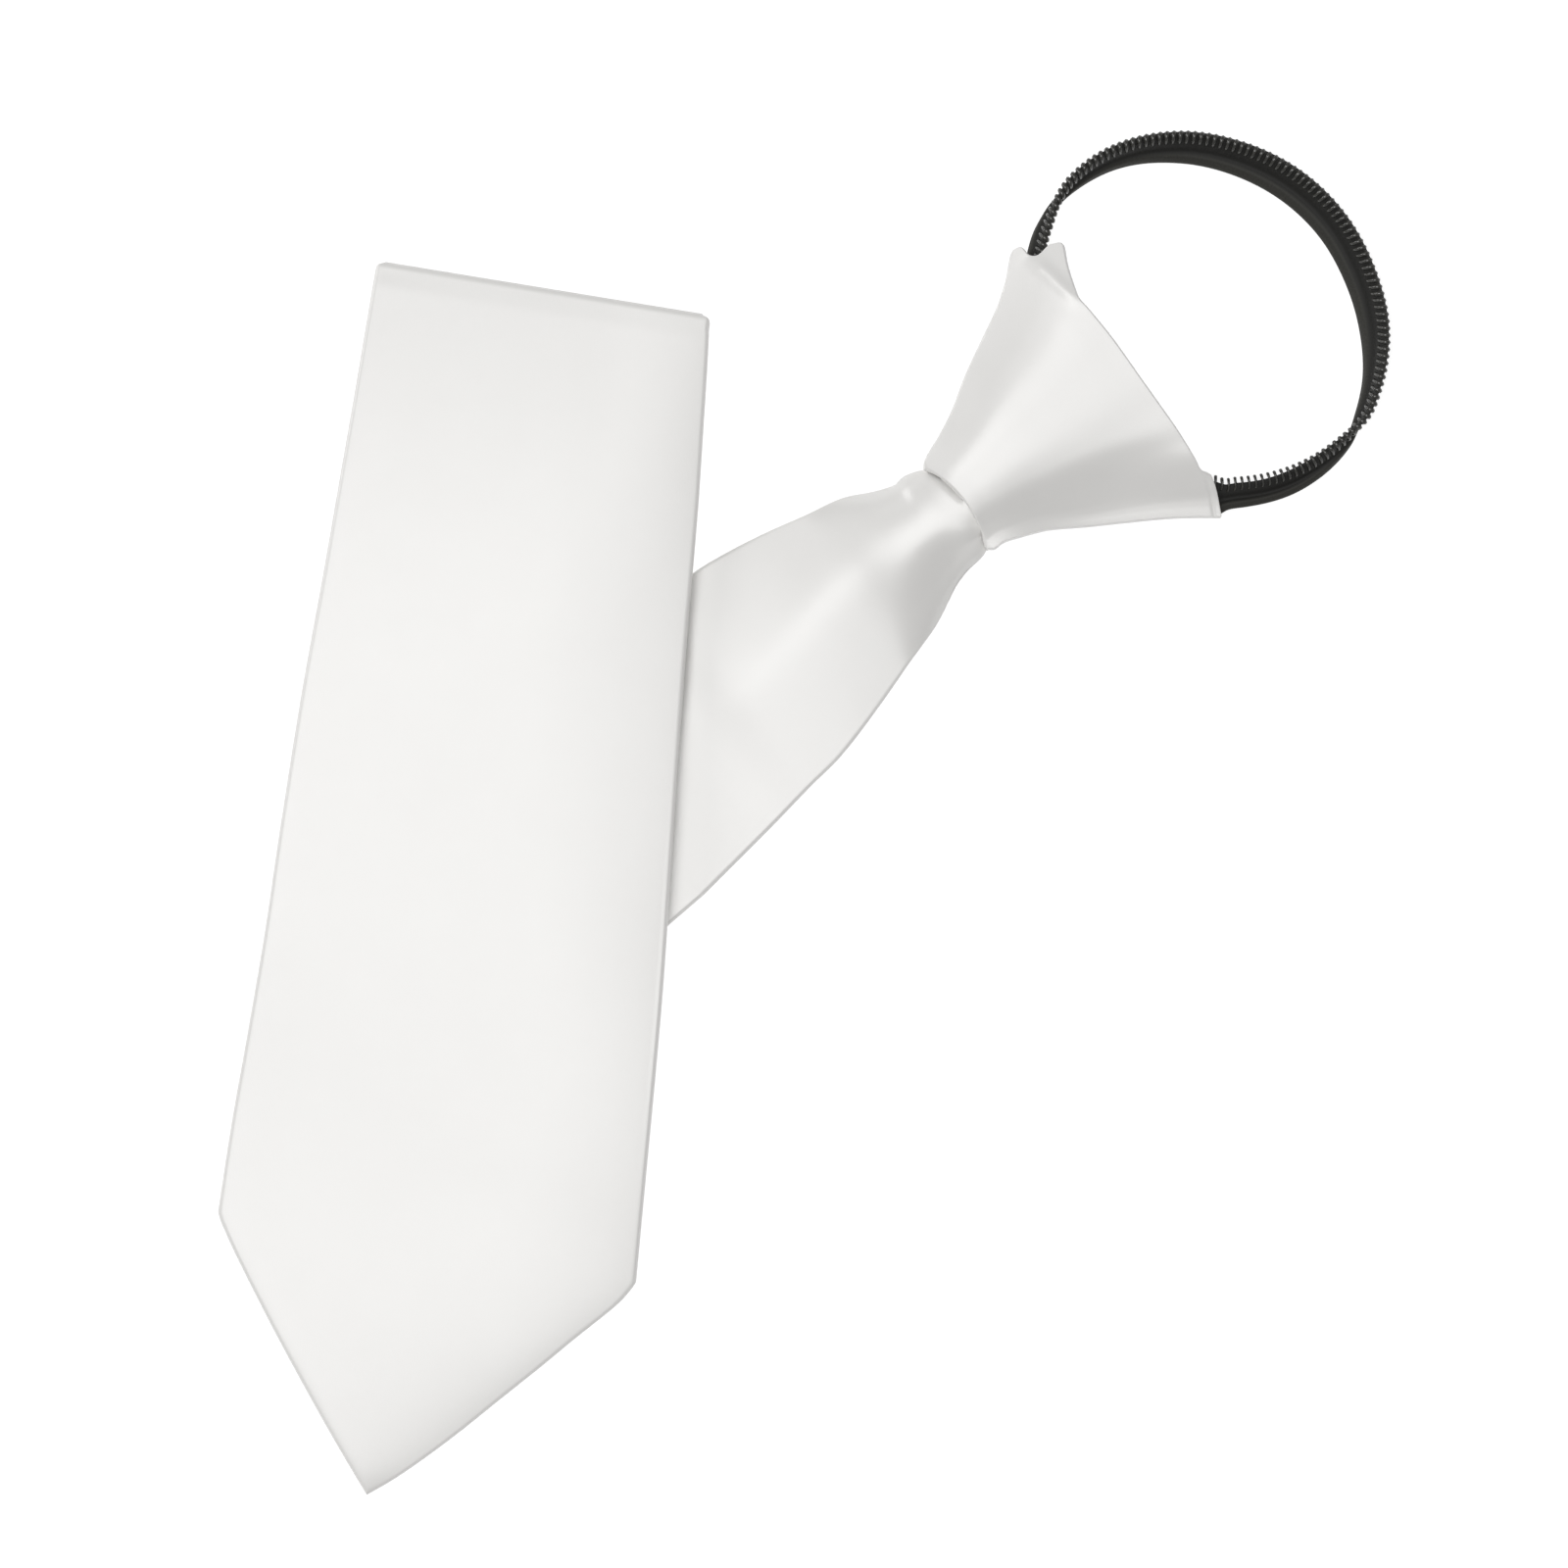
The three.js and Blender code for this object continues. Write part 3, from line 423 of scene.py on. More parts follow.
# The band's edges are narrow quarter ellipses, and at the top fold its two faces are turns of their
# own. Its front rises from each edge as 1 - exp(-distance / softness), and more at its point and
# along its left edge.
def bladePiece():
    middle, frontEnd, turns = bladeMiddle()
    fromLeft, fromRight, across = edgeDistances(middle)
    half = rounded(np.minimum(fromLeft, fromRight), blade["edgeWidth"]) / blade["edgeWidth"]
    normals = normalsOf(middle)
    toUpper = normals * halfThickness
    toLower = -toUpper
    onFold = slice(frontEnd, frontEnd + len(turns[0]))
    toUpper[onFold] = turns[1] - turns[0]
    toLower[onFold] = turns[2] - turns[0]
    fromFold = belowFold(middle[..., :2])
    swell = 1 - np.exp(-fromLeft / blade["leftSoftness"])
    swell = swell * (1 - np.exp(-fromRight / blade["rightSoftness"]))
    swell = swell * (1 - np.exp(-np.maximum(fromFold, 0) / blade["topSoftness"]))
    nearTip = smoothStep(fromFold, blade["tipFrom"], blade["tipTo"])
    tip = blade["tipRise"] * nearTip * (1 - np.exp(-fromRight / blade["tipSoftness"]))
    lifted = blade["leftLift"] * (1 + blade["tipLift"] * nearTip) * np.exp(-fromLeft / blade["liftSoftness"])
    onFront = (np.arange(len(middle)) < frontEnd)[:, None]
    front = np.where(onFront, blade["sideRise"] * swell + tip + lifted * swell, 0)
    upper = middle + toUpper * half[..., None] + normals * front[..., None]
    lower = middle + toLower * half[..., None]
    lower[[0, -1]] = middle[[0, -1]]
    upper[[0, -1]] = middle[[0, -1]]
    loop = np.concatenate([upper, lower[:, -2:0:-1]], axis=1)
    lengths = np.linalg.norm(np.diff(middle[:, acrossSteps // 2], axis=0), axis=1)
    along = np.concatenate([[0], np.cumsum(lengths)])
    acrossLoop = np.concatenate([across, across[:, -2::-1]], axis=1)
    uv = np.dstack([acrossLoop, np.broadcast_to(along[:, None], acrossLoop.shape)])
    return gridPiece("satin_blade", loop, uv, closedColumns=True)


bladeObject = bladePiece()
print("blade:", len(bladeObject.data.polygons), "faces")


# The knot's outer wrap, a hollow cloth tube with a rolled lip at the throat and at its top

knot = {
    "direction": 39, "wall": 1.1, "capShare": 0.28, "edgeShare": 0.19, "edgeRound": 0.28,
    "throatFade": (0, 19), "topFade": (25, 42),  # along the knot, for the sections of its two ends
    "earRidge": 42, "earMiddle": 17, "earSlant": 0.13, "earFall": 0.13, "earRib": 0.36, "ribWidth": 1.35,
    "earFrom": (14, 19), "earTo": (28, 29.5), "ribTo": (25, 29),  # to the left of the knot's middle
    "hemWidth": 0.9, "hemSpread": 0.25, "hemDepth": 0.2, "hemTo": (-0.78, -0.7),
    "sides": 300, "outerRings": 110, "innerRings": 40, "lipSteps": 9,
}
knotAlong = heading(knot["direction"])
knotLeft = heading(knot["direction"] + 90)
wrapRows = {  # along the knot: half widths to each side, heights of crown and underside
    "at": [0, 0.9, 3, 5.9, 11.1, 17.5, 24, 30.2, 34.7, 38, 40.4, 47],
    "toLeft": [9.9, 10.9, 11.9, 12.9, 15.2, 18.9, 22.1, 25.1, 28, 30.8, 32.7, 37.2],
    "toRight": [9.9, 10.6, 10.7, 11.8, 14.2, 18.5, 22.7, 26.8, 30.2, 32.9, 34.8, 39.8],
    "crown": [13.4, 13.6, 14, 14.4, 14.8, 15.1, 15.2, 15.25, 15.28, 15.3, 15.3, 15.3],
    "base": [1.2, 1, 0.6, 0.3, 0, 0, 0, 0, 0, 0.1, 0.4, 0.5],
}
throatLine = {"side": [-1, -0.5, 0, 0.5, 1], "along": [-0.2, 1.5, 2.2, 1.7, 0.2]}
topLine = {  # how far along the knot its top edge lies, from the right end to the ear and the left
    "side": [-1, -0.985, -0.716, -0.676, -0.593, -0.403, -0.22, -0.044, 0.212, 0.393, 0.44, 0.48, 0.51,
             0.53, 0.555, 0.58, 0.605, 0.632, 0.662, 0.69, 0.708, 0.724, 0.744, 0.761, 0.778, 0.788, 0.797,
             0.806, 0.815, 0.826, 0.842, 0.865, 0.89, 0.911, 0.935, 0.955, 0.975, 0.99, 1],
    "along": [38, 38.2, 41.2, 40.3, 40.7, 41.45, 41.85, 42.2, 42.75, 42.75, 42.7, 42.6, 42.7, 43, 43.35,
              43.75, 44.15, 44.65, 45.3, 46.1, 46.65, 46.8, 46.35, 45.7, 45.1, 44.6, 43.8, 42.95, 42.3, 41.75,
              41.25, 40.75, 40.45, 40.45, 40.45, 40.1, 39.5, 38.95, 38.4],
}
sectionTop = {  # lift of the wrap's upper face across it, from its right edge to its left one
    "side": [-1, -0.95, -0.9, -0.84, -0.76, -0.6, -0.45, -0.36, -0.25, -0.05, 0.2, 0.37, 0.5, 0.65, 0.8,
             0.9, 1],
    "throat": [0.7, 0.705, 0.709, 0.714, 0.726, 0.785, 0.865, 0.915, 0.95, 0.982, 0.997, 1, 0.985, 0.95, 0.91,
               0.883, 0.855],
    "body": [0.375, 0.39, 0.404, 0.428, 0.482, 0.64, 0.81, 0.89, 0.935, 0.98, 0.998, 1, 0.98, 0.925, 0.852,
             0.803, 0.757],
    "top": [0.355, 0.374, 0.396, 0.438, 0.558, 0.778, 0.86, 0.9, 0.928, 0.972, 0.995, 1, 0.98, 0.915, 0.835,
            0.783, 0.735],
}


def fromKnot(along, left, height):  # the throat, plus distances along the knot and to its left
    places = throat + knotAlong * np.asarray(along)[..., None] + knotLeft * np.asarray(left)[..., None]
    return np.concatenate([places, np.asarray(height)[..., None]], axis=-1)


# A ring of the wrap at a share of the way from throat to top: its line along the knot is mixed
# from the two end lines, its half widths and heights are read along it, its upper face follows the
# section table and its lower face a flat oval. Past the ear's ridge the face falls away under a
# rounded rib, and a hem runs along the top edge by the right mouth.
def wrapRing(share, inset, extra):
    turn = 2 * np.pi * np.arange(knot["sides"]) / knot["sides"]
    side = np.cos(turn)
    throatEdge = readTable(throatLine, "side", side)["along"]
    topEdge = readTable(topLine, "side", side)["along"]
    along = throatEdge + (topEdge - throatEdge) * share + extra
    row = readTable(wrapRows, "at", along)
    middle = (row["toLeft"] - row["toRight"]) / 2
    halfWidth = (row["toLeft"] + row["toRight"]) / 2 - inset
    left = middle + halfWidth * side
    edgeHeight = row["base"] + knot["edgeShare"] * (row["crown"] - row["base"])
    section = readTable(sectionTop, "side", side)
    throatShare = 1 - smoothStep(along, *knot["throatFade"])
    topShare = smoothStep(along, *knot["topFade"])
    lift = section["body"] * (1 - throatShare - topShare)
    lift = lift + section["throat"] * throatShare + section["top"] * topShare
    lift = lift * rounded(halfWidth * (1 - np.abs(side)), knot["edgeRound"]) / knot["edgeRound"]
    past = along - knot["earRidge"] + knot["earSlant"] * (left - knot["earMiddle"])
    rib = knot["earRib"] * bump(past, 0, knot["ribWidth"]) * (1 - smoothStep(left, *knot["ribTo"]))
    ear = knot["earFall"] * (np.sqrt(past ** 2 + 1) + past) / 2 - rib
    ear = ear * smoothStep(left, *knot["earFrom"]) * (1 - smoothStep(left, *knot["earTo"]))
    hem = bump((topEdge - throatEdge) * (1 - share), knot["hemWidth"], knot["hemSpread"])
    hem = hem * (1 - smoothStep(side, *knot["hemTo"]))
    upper = edgeHeight + (row["crown"] - inset - edgeHeight) * lift - ear - knot["hemDepth"] * hem
    lower = edgeHeight - (edgeHeight - row["base"] - inset) * np.abs(np.sin(turn)) ** 0.5
    height = np.where(turn <= np.pi, upper, lower)
    return fromKnot(along, left, height)


# The wrap's rings go up its outside, over its top lip, down its inside and round its lower lip.
def wrapPiece():
    wall = knot["wall"]
    cap = knot["capShare"] * wall
    bend = np.linspace(0, np.pi, knot["lipSteps"])[1:-1]
    outside = 0.5 - 0.5 * np.cos(np.linspace(0, np.pi, knot["outerRings"]))
    stations = [(s, 0, 0) for s in outside]
    stations += [(1, wall / 2 * (1 - math.cos(b)), cap * math.sin(b)) for b in bend]
    stations += [(s, wall, 0) for s in np.linspace(1, 0, knot["innerRings"])]
    stations += [(0, wall / 2 * (1 + math.cos(b)), -cap * math.sin(b)) for b in bend]
    rings = np.array([wrapRing(*s) for s in stations])
    crown = rings[:, knot["sides"] // 4]
    alongUv = np.concatenate([[0], np.cumsum(np.linalg.norm(np.diff(crown, axis=0), axis=1))])
    alongUv = np.append(alongUv, alongUv[-1] + 0.3)
    acrossUv = np.linspace(0, 90, knot["sides"] + 1)
    uv = np.dstack(np.broadcast_arrays(acrossUv[None, :], alongUv[:, None]))
    return gridPiece("satin_knot", rings, uv, closedRows=True, closedColumns=True)


wrapObject = wrapPiece()
print("knot:", len(wrapObject.data.polygons), "faces")


# The inner roll of cloth behind the knot's top edge, from inside the ear to the right mouth

rollRows = {
    "at": [0, 0.03, 0.08, 0.16, 0.26, 0.4, 0.6, 0.8, 0.96, 1],
    "along": [44.2, 44, 43.3, 42, 40.6, 39, 38.1, 37.7, 37.5, 37.5],
    "left": [25.8, 25.4, 24.4, 22, 18.7, 11.8, 1, -10, -17.4, -18.2],
    "width": [0.6, 1.3, 1.9, 2.3, 2.7, 3.2, 3.4, 3, 1.8, 0.7],
    "depth": [0.4, 0.9, 1.1, 1.5, 2.2, 3.2, 3.8, 3, 1.8, 0.7],
    "height": [6, 6, 6, 6.1, 6.2, 6.4, 6.4, 6, 5.6, 5.6],
}


# An oval of the table's width and depth, square to the roll's run and closed at both ends.
def rollPiece():
    steps, sides = 80, 24
    at = 0.5 - 0.5 * np.cos(np.pi * np.arange(steps + 1) / steps)
    row = {k: v[:, None] for k, v in readTable(rollRows, "at", at).items()}
    run = unit(np.gradient(np.hstack([row["along"], row["left"]]), axis=0))
    turn = 2 * np.pi * np.arange(sides) / sides
    out = row["width"] * np.cos(turn)
    height = row["height"] + row["depth"] * np.sin(turn)
    points = fromKnot(row["along"] - run[:, 1:] * out, row["left"] + run[:, :1] * out, height)
    points[0] = points[0].mean(axis=0)
    points[-1] = points[-1].mean(axis=0)
    uv = np.dstack(np.broadcast_arrays(np.linspace(0, 20, sides + 1)[None, :], (at * 60)[:, None]))
    return gridPiece("satin_roll", points, uv, closedColumns=True)


rollObject = rollPiece()


# The zip: a folded tape with a rolled free edge, and a wound nylon coil along its other edge

zipper = {
    "centre": (77.56, 92.45), "toothPitch": 1.316, "toothLength": 1.3, "toothEnd": 0.2,
    "coilBar": 1.6, "coilDepth": 0.72, "coilFrom": -104, "coilTo": 170,
    "coverFrom": -74, "coverTo": -40, "closeFrom": -75, "closeTo": -30,
    "tapeRings": 460, "tapeColumns": 33, "wireSteps": 16, "wireSides": 6,
}
coilTurns = {  # how the coil's turns look apart by the right mouth (0) and close together past it (1)
    "close": [0, 1], "step": [0.85, 0.45], "radius": [0.25, 0.31], "head": [0.3, 0.85],
    "headWidth": [0.13, 0.17],
}
# By turn round the loop in degrees: how far the band's middle lies from the centre, how much further
# out its free edge lies than its teeth, how much higher its teeth stand, and the edge's height.
zipRows = {
    "turn": [-137, -128, -115, -100, -89, -84.5, -80, -60, -40, -30, -20, 0, 20, 40, 60, 80, 100, 120, 134,
             142, 147, 152, 158, 172, 190, 209.5],
    "reach": [41.2, 38.2, 34.7, 31.7, 31.9, 31.7, 31.65, 32.75, 33.5, 33.4, 32.7, 31.3, 30.35, 30.55, 31.4,
              32.85, 35.1, 37.35, 38.05, 37.75, 37.2, 36.7, 35.9, 34.6, 36.4, 41.4],
    "spread": [4.6, 4.6, 4.8, 6, 8, 6.1, 6, 5, 2, -1.7, -2.9, -5.2, -5.9, -6.3, -6.6, -6.4, -5.7, -3.7,
               -1.8, 0.5, 1.7, 2.5, 3.1, 3.8, 4.4, 4.6],
    "rise": [0.4, 0.7, 1, 1.3, 1.5, 1.6, 1.7, 3, 5.3, 6, 6.2, 5.3, 4.7, 4.3, 3.8, 4.1, 4.9, 6, 6, 5.8, 5.3,
             4.7, 4, 2.4, 1.2, 0.4],
    "rest": [7.3, 7, 5.6, 4.1, 3.6, 3.45, 3.3, 2.1, 1.2, 0.95, 0.9, 0.9, 0.9, 0.9, 0.9, 0.9, 0.9, 1.2, 1.9,
             2.65, 3.3, 4, 4.6, 5.6, 7, 7.3],
}
loopCentre = np.array(zipper["centre"])


# The band at turns of the loop: its free edge, the way from there to its teeth, and its width.
def zipPlaces(turn):
    row = readTable(zipRows, "turn", turn)
    angle = np.radians(turn)
    ray = np.stack([np.cos(angle), np.sin(angle)], -1)
    edge = loopCentre + ray * (row["reach"] + row["spread"] / 2)[:, None]
    teeth = loopCentre + ray * (row["reach"] - row["spread"] / 2)[:, None]
    free = np.concatenate([edge, row["rest"][:, None]], axis=1)
    tips = np.concatenate([teeth, (row["rest"] + row["rise"])[:, None]], axis=1)
    return free, unit(tips - free), np.linalg.norm(tips - free, axis=1)


# The same with the way through the band, square to its run and to the way across it.
def zipFrames(turn):
    free, across, width = zipPlaces(turn)
    along = unit(zipPlaces(turn + 0.5)[0] - zipPlaces(turn - 0.5)[0])
    return {"free": free, "across": across, "width": width, "through": unit(np.cross(along, across))}


# Points of the band: its free edge, plus a distance across it and one through it.
def zipPoints(frames, across, through):
    return (
        frames["free"][:, None]
        + frames["across"][:, None] * across[..., None]
        + frames["through"][:, None] * through[..., None]
    )


coilWidth = zipper["coilBar"] + zipper["toothLength"]
tapeSection = {  # half thickness across the tape, by the share of the way from its free edge
    "share": [0, 0.02, 0.07, 0.14, 0.24, 0.31, 0.36, 0.42, 0.5, 0.58, 0.66, 0.95, 1],
    "half": [0.05, 0.4, 0.64, 0.76, 0.8, 0.74, 0.35, 0.15, 0.15, 0.28, 0.36, 0.32, 0.1],
}


# The section table swept round the loop, from the band's free edge to where the teeth stand clear:
# by the right mouth that is their whole length, and further round they lie on the tape.
def tapePiece():
    turn = np.linspace(zipRows["turn"][0], zipRows["turn"][-1], zipper["tapeRings"])
    frames = zipFrames(turn)
    share = 0.5 - 0.5 * np.cos(np.pi * np.linspace(0, 1, zipper["tapeColumns"]))
    half = readTable(tapeSection, "share", share)["half"]
    covered = smoothStep(turn, zipper["coverFrom"], zipper["coverTo"])
    clear = zipper["toothLength"] + (zipper["toothEnd"] - zipper["toothLength"]) * covered
    flat = (frames["width"] - clear)[:, None]
    loopShare = np.concatenate([share, share[::-1]])
    across = flat * loopShare
    through = np.broadcast_to(np.concatenate([half, -half[::-1]]), across.shape)
    points = zipPoints(frames, across, through)
    points[0] = points[0].mean(axis=0)
    points[-1] = points[-1].mean(axis=0)
    lengths = np.linalg.norm(np.diff(frames["free"], axis=0), axis=1)
    along = np.concatenate([[0], np.cumsum(lengths)])
    loopAcross = np.append(loopShare, 0) * 4
    uv = np.dstack(np.broadcast_arrays(loopAcross[None, :], along[:, None]))
    return gridPiece("zip_tape_cloth", points, uv, closedColumns=True)


tapeObject = tapePiece()


# The coil's wire: each turn goes out to the tooth's head and back, and steps on by one pitch at
# the tape's side: along = pitch (k + q + step sin(2 pi q) / 2 pi). Past the right mouth the turns
# slant more and are thicker, so they look closer together.
def coilPiece():
    samples = np.linspace(zipper["coilFrom"], zipper["coilTo"], 2400)
    free, across, width = zipPlaces(samples)
    line = free + across * (width - zipper["coilBar"])[:, None]
    length = np.concatenate([[0], np.cumsum(np.linalg.norm(np.diff(line, axis=0), axis=1))])
    teeth = int(length[-1] / zipper["toothPitch"])
    count = np.arange(teeth * zipper["wireSteps"] + 1) / zipper["wireSteps"]
    q = count % 1
    close = smoothStep(np.interp(zipper["toothPitch"] * count, length, samples),
                       zipper["closeFrom"], zipper["closeTo"])
    row = readTable(coilTurns, "close", close)
    walked = zipper["toothPitch"] * (count + row["step"] * np.sin(2 * np.pi * q) / (2 * np.pi))
    turn = np.interp(walked, length, samples)
    frames = zipFrames(turn)
    radius = row["radius"] * (1 + row["head"] * bump(q, 0.5, row["headWidth"]))
    swing = -np.cos(2 * np.pi * q)
    start = frames["width"] - coilWidth
    middle = start + coilWidth / 2 + (coilWidth / 2 - radius) * np.sign(swing) * np.abs(swing) ** 0.8
    through = zipper["coilDepth"] * np.sin(2 * np.pi * q)
    wire = zipPoints(frames, middle[:, None], through[:, None])[:, 0]
    tangent = unit(np.gradient(wire, axis=0))
    sideways = unit(np.cross(tangent, unit(np.cross(frames["across"], frames["through"]))))
    third = np.cross(tangent, sideways)
    sides = zipper["wireSides"]
    ring = 2 * np.pi * np.arange(sides) / sides
    points = wire[:, None] + radius[:, None, None] * (
        sideways[:, None] * np.cos(ring)[None, :, None] + third[:, None] * np.sin(ring)[None, :, None]
    )
    points[0] = points[0].mean(axis=0)
    points[-1] = points[-1].mean(axis=0)
    uv = np.dstack(np.broadcast_arrays(np.linspace(0, 1, sides + 1)[None, :], count[:, None]))
    return gridPiece("zip_coil_wire", points, uv, closedColumns=True)


coilObject = coilPiece()
print("zip:", len(tapeObject.data.polygons), "and", len(coilObject.data.polygons), "faces")


# Materials

def newMaterial(name, settings):
    material = bpy.data.materials.new(name)
    material.use_nodes = True
    shader = material.node_tree.nodes["Principled BSDF"]
    for socket, value in settings.items():
        shader.inputs[socket].default_value = value
    return material, material.node_tree.nodes, material.node_tree.links, shader


# Threads: fine noise drawn out along one way of the cloth's own UV map, in millimetres.
def makeThreads():
    group = bpy.data.node_groups.new("threads", "ShaderNodeTree")
    for name, value in (("Across per mm", 6.0), ("Along per mm", 1.0)):
        socket = group.interface.new_socket(name, in_out="INPUT", socket_type="NodeSocketFloat")
        socket.default_value = value
    group.interface.new_socket("Threads", in_out="OUTPUT", socket_type="NodeSocketFloat")
    nodes, links = group.nodes, group.links
    inside = nodes.new("NodeGroupInput")
    outside = nodes.new("NodeGroupOutput")
    place = nodes.new("ShaderNodeUVMap")
    place.uv_map = "cloth"
    scale = nodes.new("ShaderNodeCombineXYZ")
    stretch = nodes.new("ShaderNodeVectorMath")
    stretch.operation = "MULTIPLY"
    noise = nodes.new("ShaderNodeTexNoise")
    noise.inputs["Scale"].default_value = 1
    noise.inputs["Detail"].default_value = 3
    links.new(inside.outputs["Across per mm"], scale.inputs["X"])
    links.new(inside.outputs["Along per mm"], scale.inputs["Y"])
    links.new(place.outputs["UV"], stretch.inputs[0])
    links.new(scale.outputs["Vector"], stretch.inputs[1])
    links.new(stretch.outputs["Vector"], noise.inputs["Vector"])
    links.new(noise.outputs["Fac"], outside.inputs["Threads"])
    return group


threads = makeThreads()


def addThreads(nodes, acrossPerMm, alongPerMm):
    node = nodes.new("ShaderNodeGroup")
    node.node_tree = threads
    node.inputs["Across per mm"].default_value = acrossPerMm
    node.inputs["Along per mm"].default_value = alongPerMm
    return node


def addBump(nodes, links, shader, height, strength, distance):
    node = nodes.new("ShaderNodeBump")
    node.inputs["Strength"].default_value = strength
    node.inputs["Distance"].default_value = distance
    links.new(height, node.inputs["Height"])
    links.new(node.outputs["Normal"], shader.inputs["Normal"])
    return node


def addMix(nodes, links, factor, low, high):
    node = nodes.new("ShaderNodeMix")
    node.data_type = "RGBA"
    node.inputs["A"].default_value = (*low, 1)
    node.inputs["B"].default_value = (*high, 1)
    links.new(factor, node.inputs["Factor"])
    return node.outputs["Result"]


satinLook = {
    "roughness": 0.33, "specular": 0.9, "metallic": 0.04,
    "dark": (0.86, 0.85, 0.83), "light": (0.885, 0.876, 0.857), "mottlePerMetre": 90,
    "threadsPerMm": (7, 0.9), "bumpStrength": 0.25, "threadHeight": 0.00006,
}
tapeLook = {
    "roughness": 0.62, "specular": 0.4, "sheen": 0.05,
    # The tape's third and darkest colour is painted shade: it darkens the groove and the tape under the coil,
    # from grooveFrom across.
    "dark": (0.015, 0.0147, 0.012), "light": (0.038, 0.037, 0.031), "groove": (0.008, 0.0078, 0.0065),
    "rolledTo": 1.2, "grooveFrom": 1.5,  # across the tape's UV map, which is 4 wide
    "threadsPerMm": (3, 3), "bumpStrength": 0.5, "threadHeight": 0.0001,
}
nylonLook = {
    "roughness": 0.24, "specular": 0.9, "dark": (0.02, 0.0195, 0.017), "light": (0.05, 0.049, 0.043),
    "grainPerMetre": 1500,
}


def satinMaterial():
    look = satinLook
    material, nodes, links, shader = newMaterial("white_satin", {
        "Roughness": look["roughness"], "Specular IOR Level": look["specular"], "Metallic": look["metallic"],
    })
    fine = addThreads(nodes, *look["threadsPerMm"])
    mottle = nodes.new("ShaderNodeTexNoise")
    mottle.inputs["Scale"].default_value = look["mottlePerMetre"]
    mottle.inputs["Detail"].default_value = 4
    place = nodes.new("ShaderNodeTexCoord")
    links.new(place.outputs["Object"], mottle.inputs["Vector"])
    colour = addMix(nodes, links, mottle.outputs["Fac"], look["dark"], look["light"])
    links.new(colour, shader.inputs["Base Color"])
    addBump(nodes, links, shader, fine.outputs["Threads"], look["bumpStrength"], look["threadHeight"])
    return material


def tapeMaterial():
    look = tapeLook
    material, nodes, links, shader = newMaterial("black_tape", {
        "Roughness": look["roughness"], "Specular IOR Level": look["specular"], "Sheen Weight": look["sheen"],
    })
    fine = addThreads(nodes, *look["threadsPerMm"])
    weave = addMix(nodes, links, fine.outputs["Threads"], look["dark"], look["light"])
    place = nodes.new("ShaderNodeUVMap")
    place.uv_map = "cloth"
    split = nodes.new("ShaderNodeSeparateXYZ")
    rolled = nodes.new("ShaderNodeMapRange")  # 1 on the rolled edge, 0 from the groove on
    rolled.interpolation_type = "SMOOTHSTEP"
    rolled.inputs["From Min"].default_value = look["grooveFrom"]
    rolled.inputs["From Max"].default_value = look["rolledTo"]
    links.new(place.outputs["UV"], split.inputs["Vector"])
    links.new(split.outputs["X"], rolled.inputs["Value"])
    # From the groove on, across the tape under the coil, the colour is painted shade standing in for the
    # groove's depth and the gaps between the coil's turns; the rolled edge keeps the woven colour.
    colour = addMix(nodes, links, rolled.outputs["Result"], look["groove"], look["light"])
    links.new(weave, colour.node.inputs["B"])
    links.new(colour, shader.inputs["Base Color"])
    addBump(nodes, links, shader, fine.outputs["Threads"], look["bumpStrength"], look["threadHeight"])
    return material


def nylonMaterial():
    look = nylonLook
    material, nodes, links, shader = newMaterial("black_nylon", {
        "Roughness": look["roughness"], "Specular IOR Level": look["specular"],
    })
    place = nodes.new("ShaderNodeTexCoord")
    grain = nodes.new("ShaderNodeTexNoise")
    grain.inputs["Scale"].default_value = look["grainPerMetre"]
    links.new(place.outputs["Object"], grain.inputs["Vector"])
    colour = addMix(nodes, links, grain.outputs["Fac"], look["dark"], look["light"])
    links.new(colour, shader.inputs["Base Color"])
    return material


satin = satinMaterial()
blackTape = tapeMaterial()
blackNylon = nylonMaterial()


def finishPiece(piece, material, slot, *nodes):
    piece.data.materials.append(material)
    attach(piece, "root")
    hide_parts(*nodes)


finishPiece(bladeObject, satin, "satin", "blade")
finishPiece(wrapObject, satin, "satin", "knot_wrap")
finishPiece(rollObject, satin, "satin", "knot_roll")
finishPiece(tapeObject, blackTape, "zip_tape", "zip_tape")
finishPiece(coilObject, blackNylon, "zip_nylon", "zip_coil")
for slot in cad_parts["zip_slider"].material_slots:
    slot.material = blackNylon
print("materials set on 5 pieces and the slider")


# The floor and the light

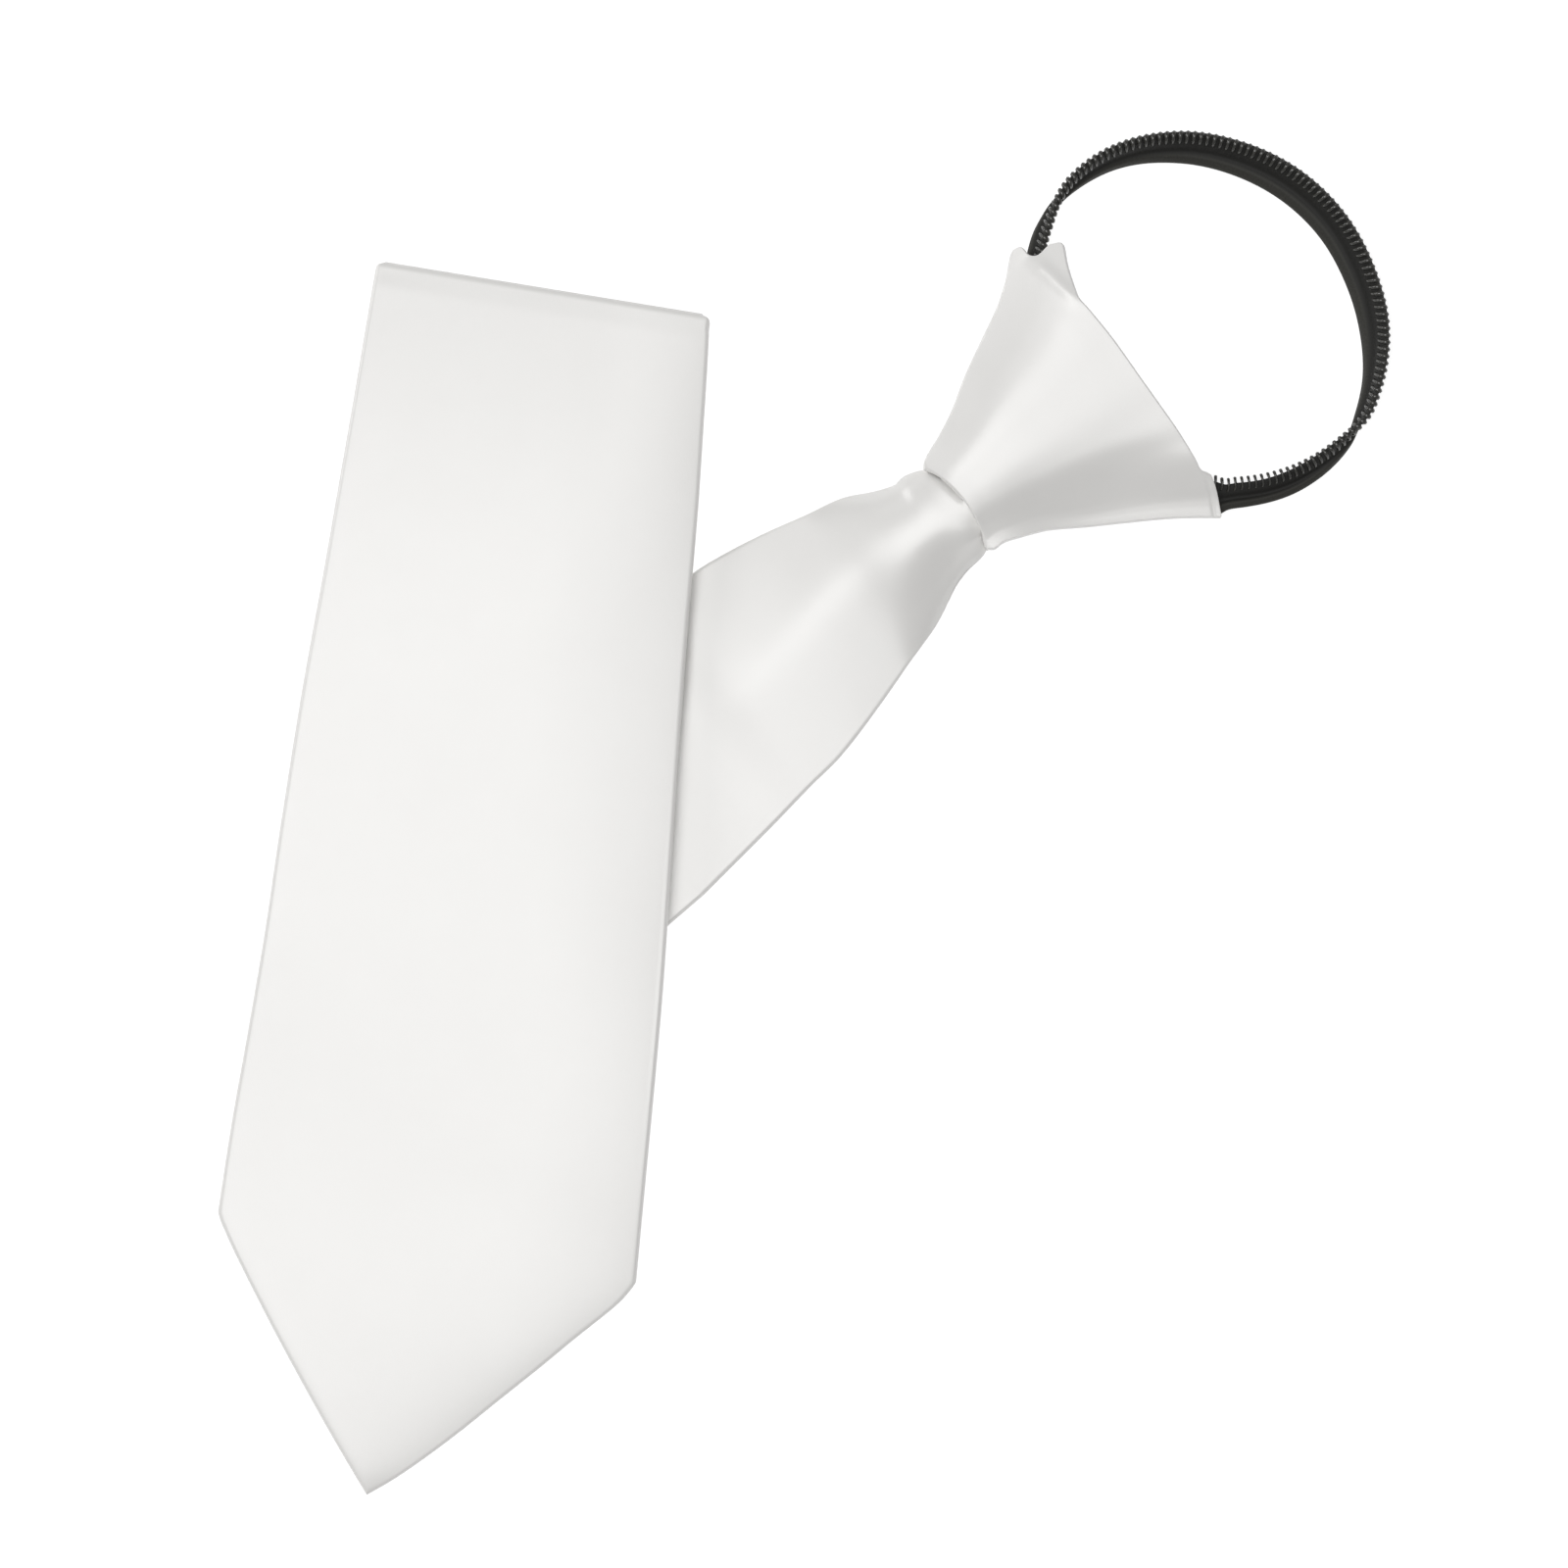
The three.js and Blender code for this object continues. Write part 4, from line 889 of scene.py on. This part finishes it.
studio = {
    "floorSize": 3, "floorShade": 0.6, "floorGlow": 0.75, "floorBounce": 0.45,
    "keyPower": 84, "keySize": 3, "fillPower": 33, "fillSize": 2, "skyLight": 0.27,
}


def makeFloor():
    half = studio["floorSize"] / 2
    corners = [(-half, -half, 0), (half, -half, 0), (half, half, 0), (-half, half, 0)]
    mesh = bpy.data.meshes.new("floor")
    mesh.from_pydata(corners, [], [(0, 1, 2, 3)])
    floor = bpy.data.objects.new("floor", mesh)
    bpy.context.collection.objects.link(floor)
    grey = studio["floorShade"]
    material, nodes, links, shader = newMaterial("pale_floor", {
        "Base Color": (grey, grey, grey, 1), "Roughness": 0.9, "Specular IOR Level": 0.1,
        "Emission Color": (1, 1, 1, 1),
    })
    path = nodes.new("ShaderNodeLightPath")  # the floor shows white and lights the tie more softly
    glow = nodes.new("ShaderNodeMapRange")
    glow.inputs["To Min"].default_value = studio["floorBounce"]
    glow.inputs["To Max"].default_value = studio["floorGlow"]
    links.new(path.outputs["Is Camera Ray"], glow.inputs["Value"])
    links.new(glow.outputs["Result"], shader.inputs["Emission Strength"])
    mesh.materials.append(material)


def makeLight(name, x, y, z, size, power):
    data = bpy.data.lights.new(name, "AREA")
    data.shape = "DISK"
    data.size = size
    data.energy = power
    lamp = bpy.data.objects.new(name, data)
    lamp.location = (x, y, z)
    tilt = math.atan2(math.hypot(x, y), z)  # turned to look at the middle of the table
    lamp.rotation_euler = (tilt, 0, math.atan2(-x, y) + math.pi)
    bpy.context.collection.objects.link(lamp)


def makeSky():
    world = bpy.data.worlds.new("studio")
    world.use_nodes = True
    world.node_tree.nodes["Background"].inputs["Color"].default_value = (1, 1, 1, 1)
    world.node_tree.nodes["Background"].inputs["Strength"].default_value = studio["skyLight"]
    bpy.context.scene.world = world


makeFloor()
makeLight("key", -0.5, -0.12, 4.2, studio["keySize"], studio["keyPower"])
makeLight("fill", -3.2, 1.5, 1.5, studio["fillSize"], studio["fillPower"])
makeSky()
bpy.context.scene.view_settings.view_transform = "Standard"
print("studio ready")
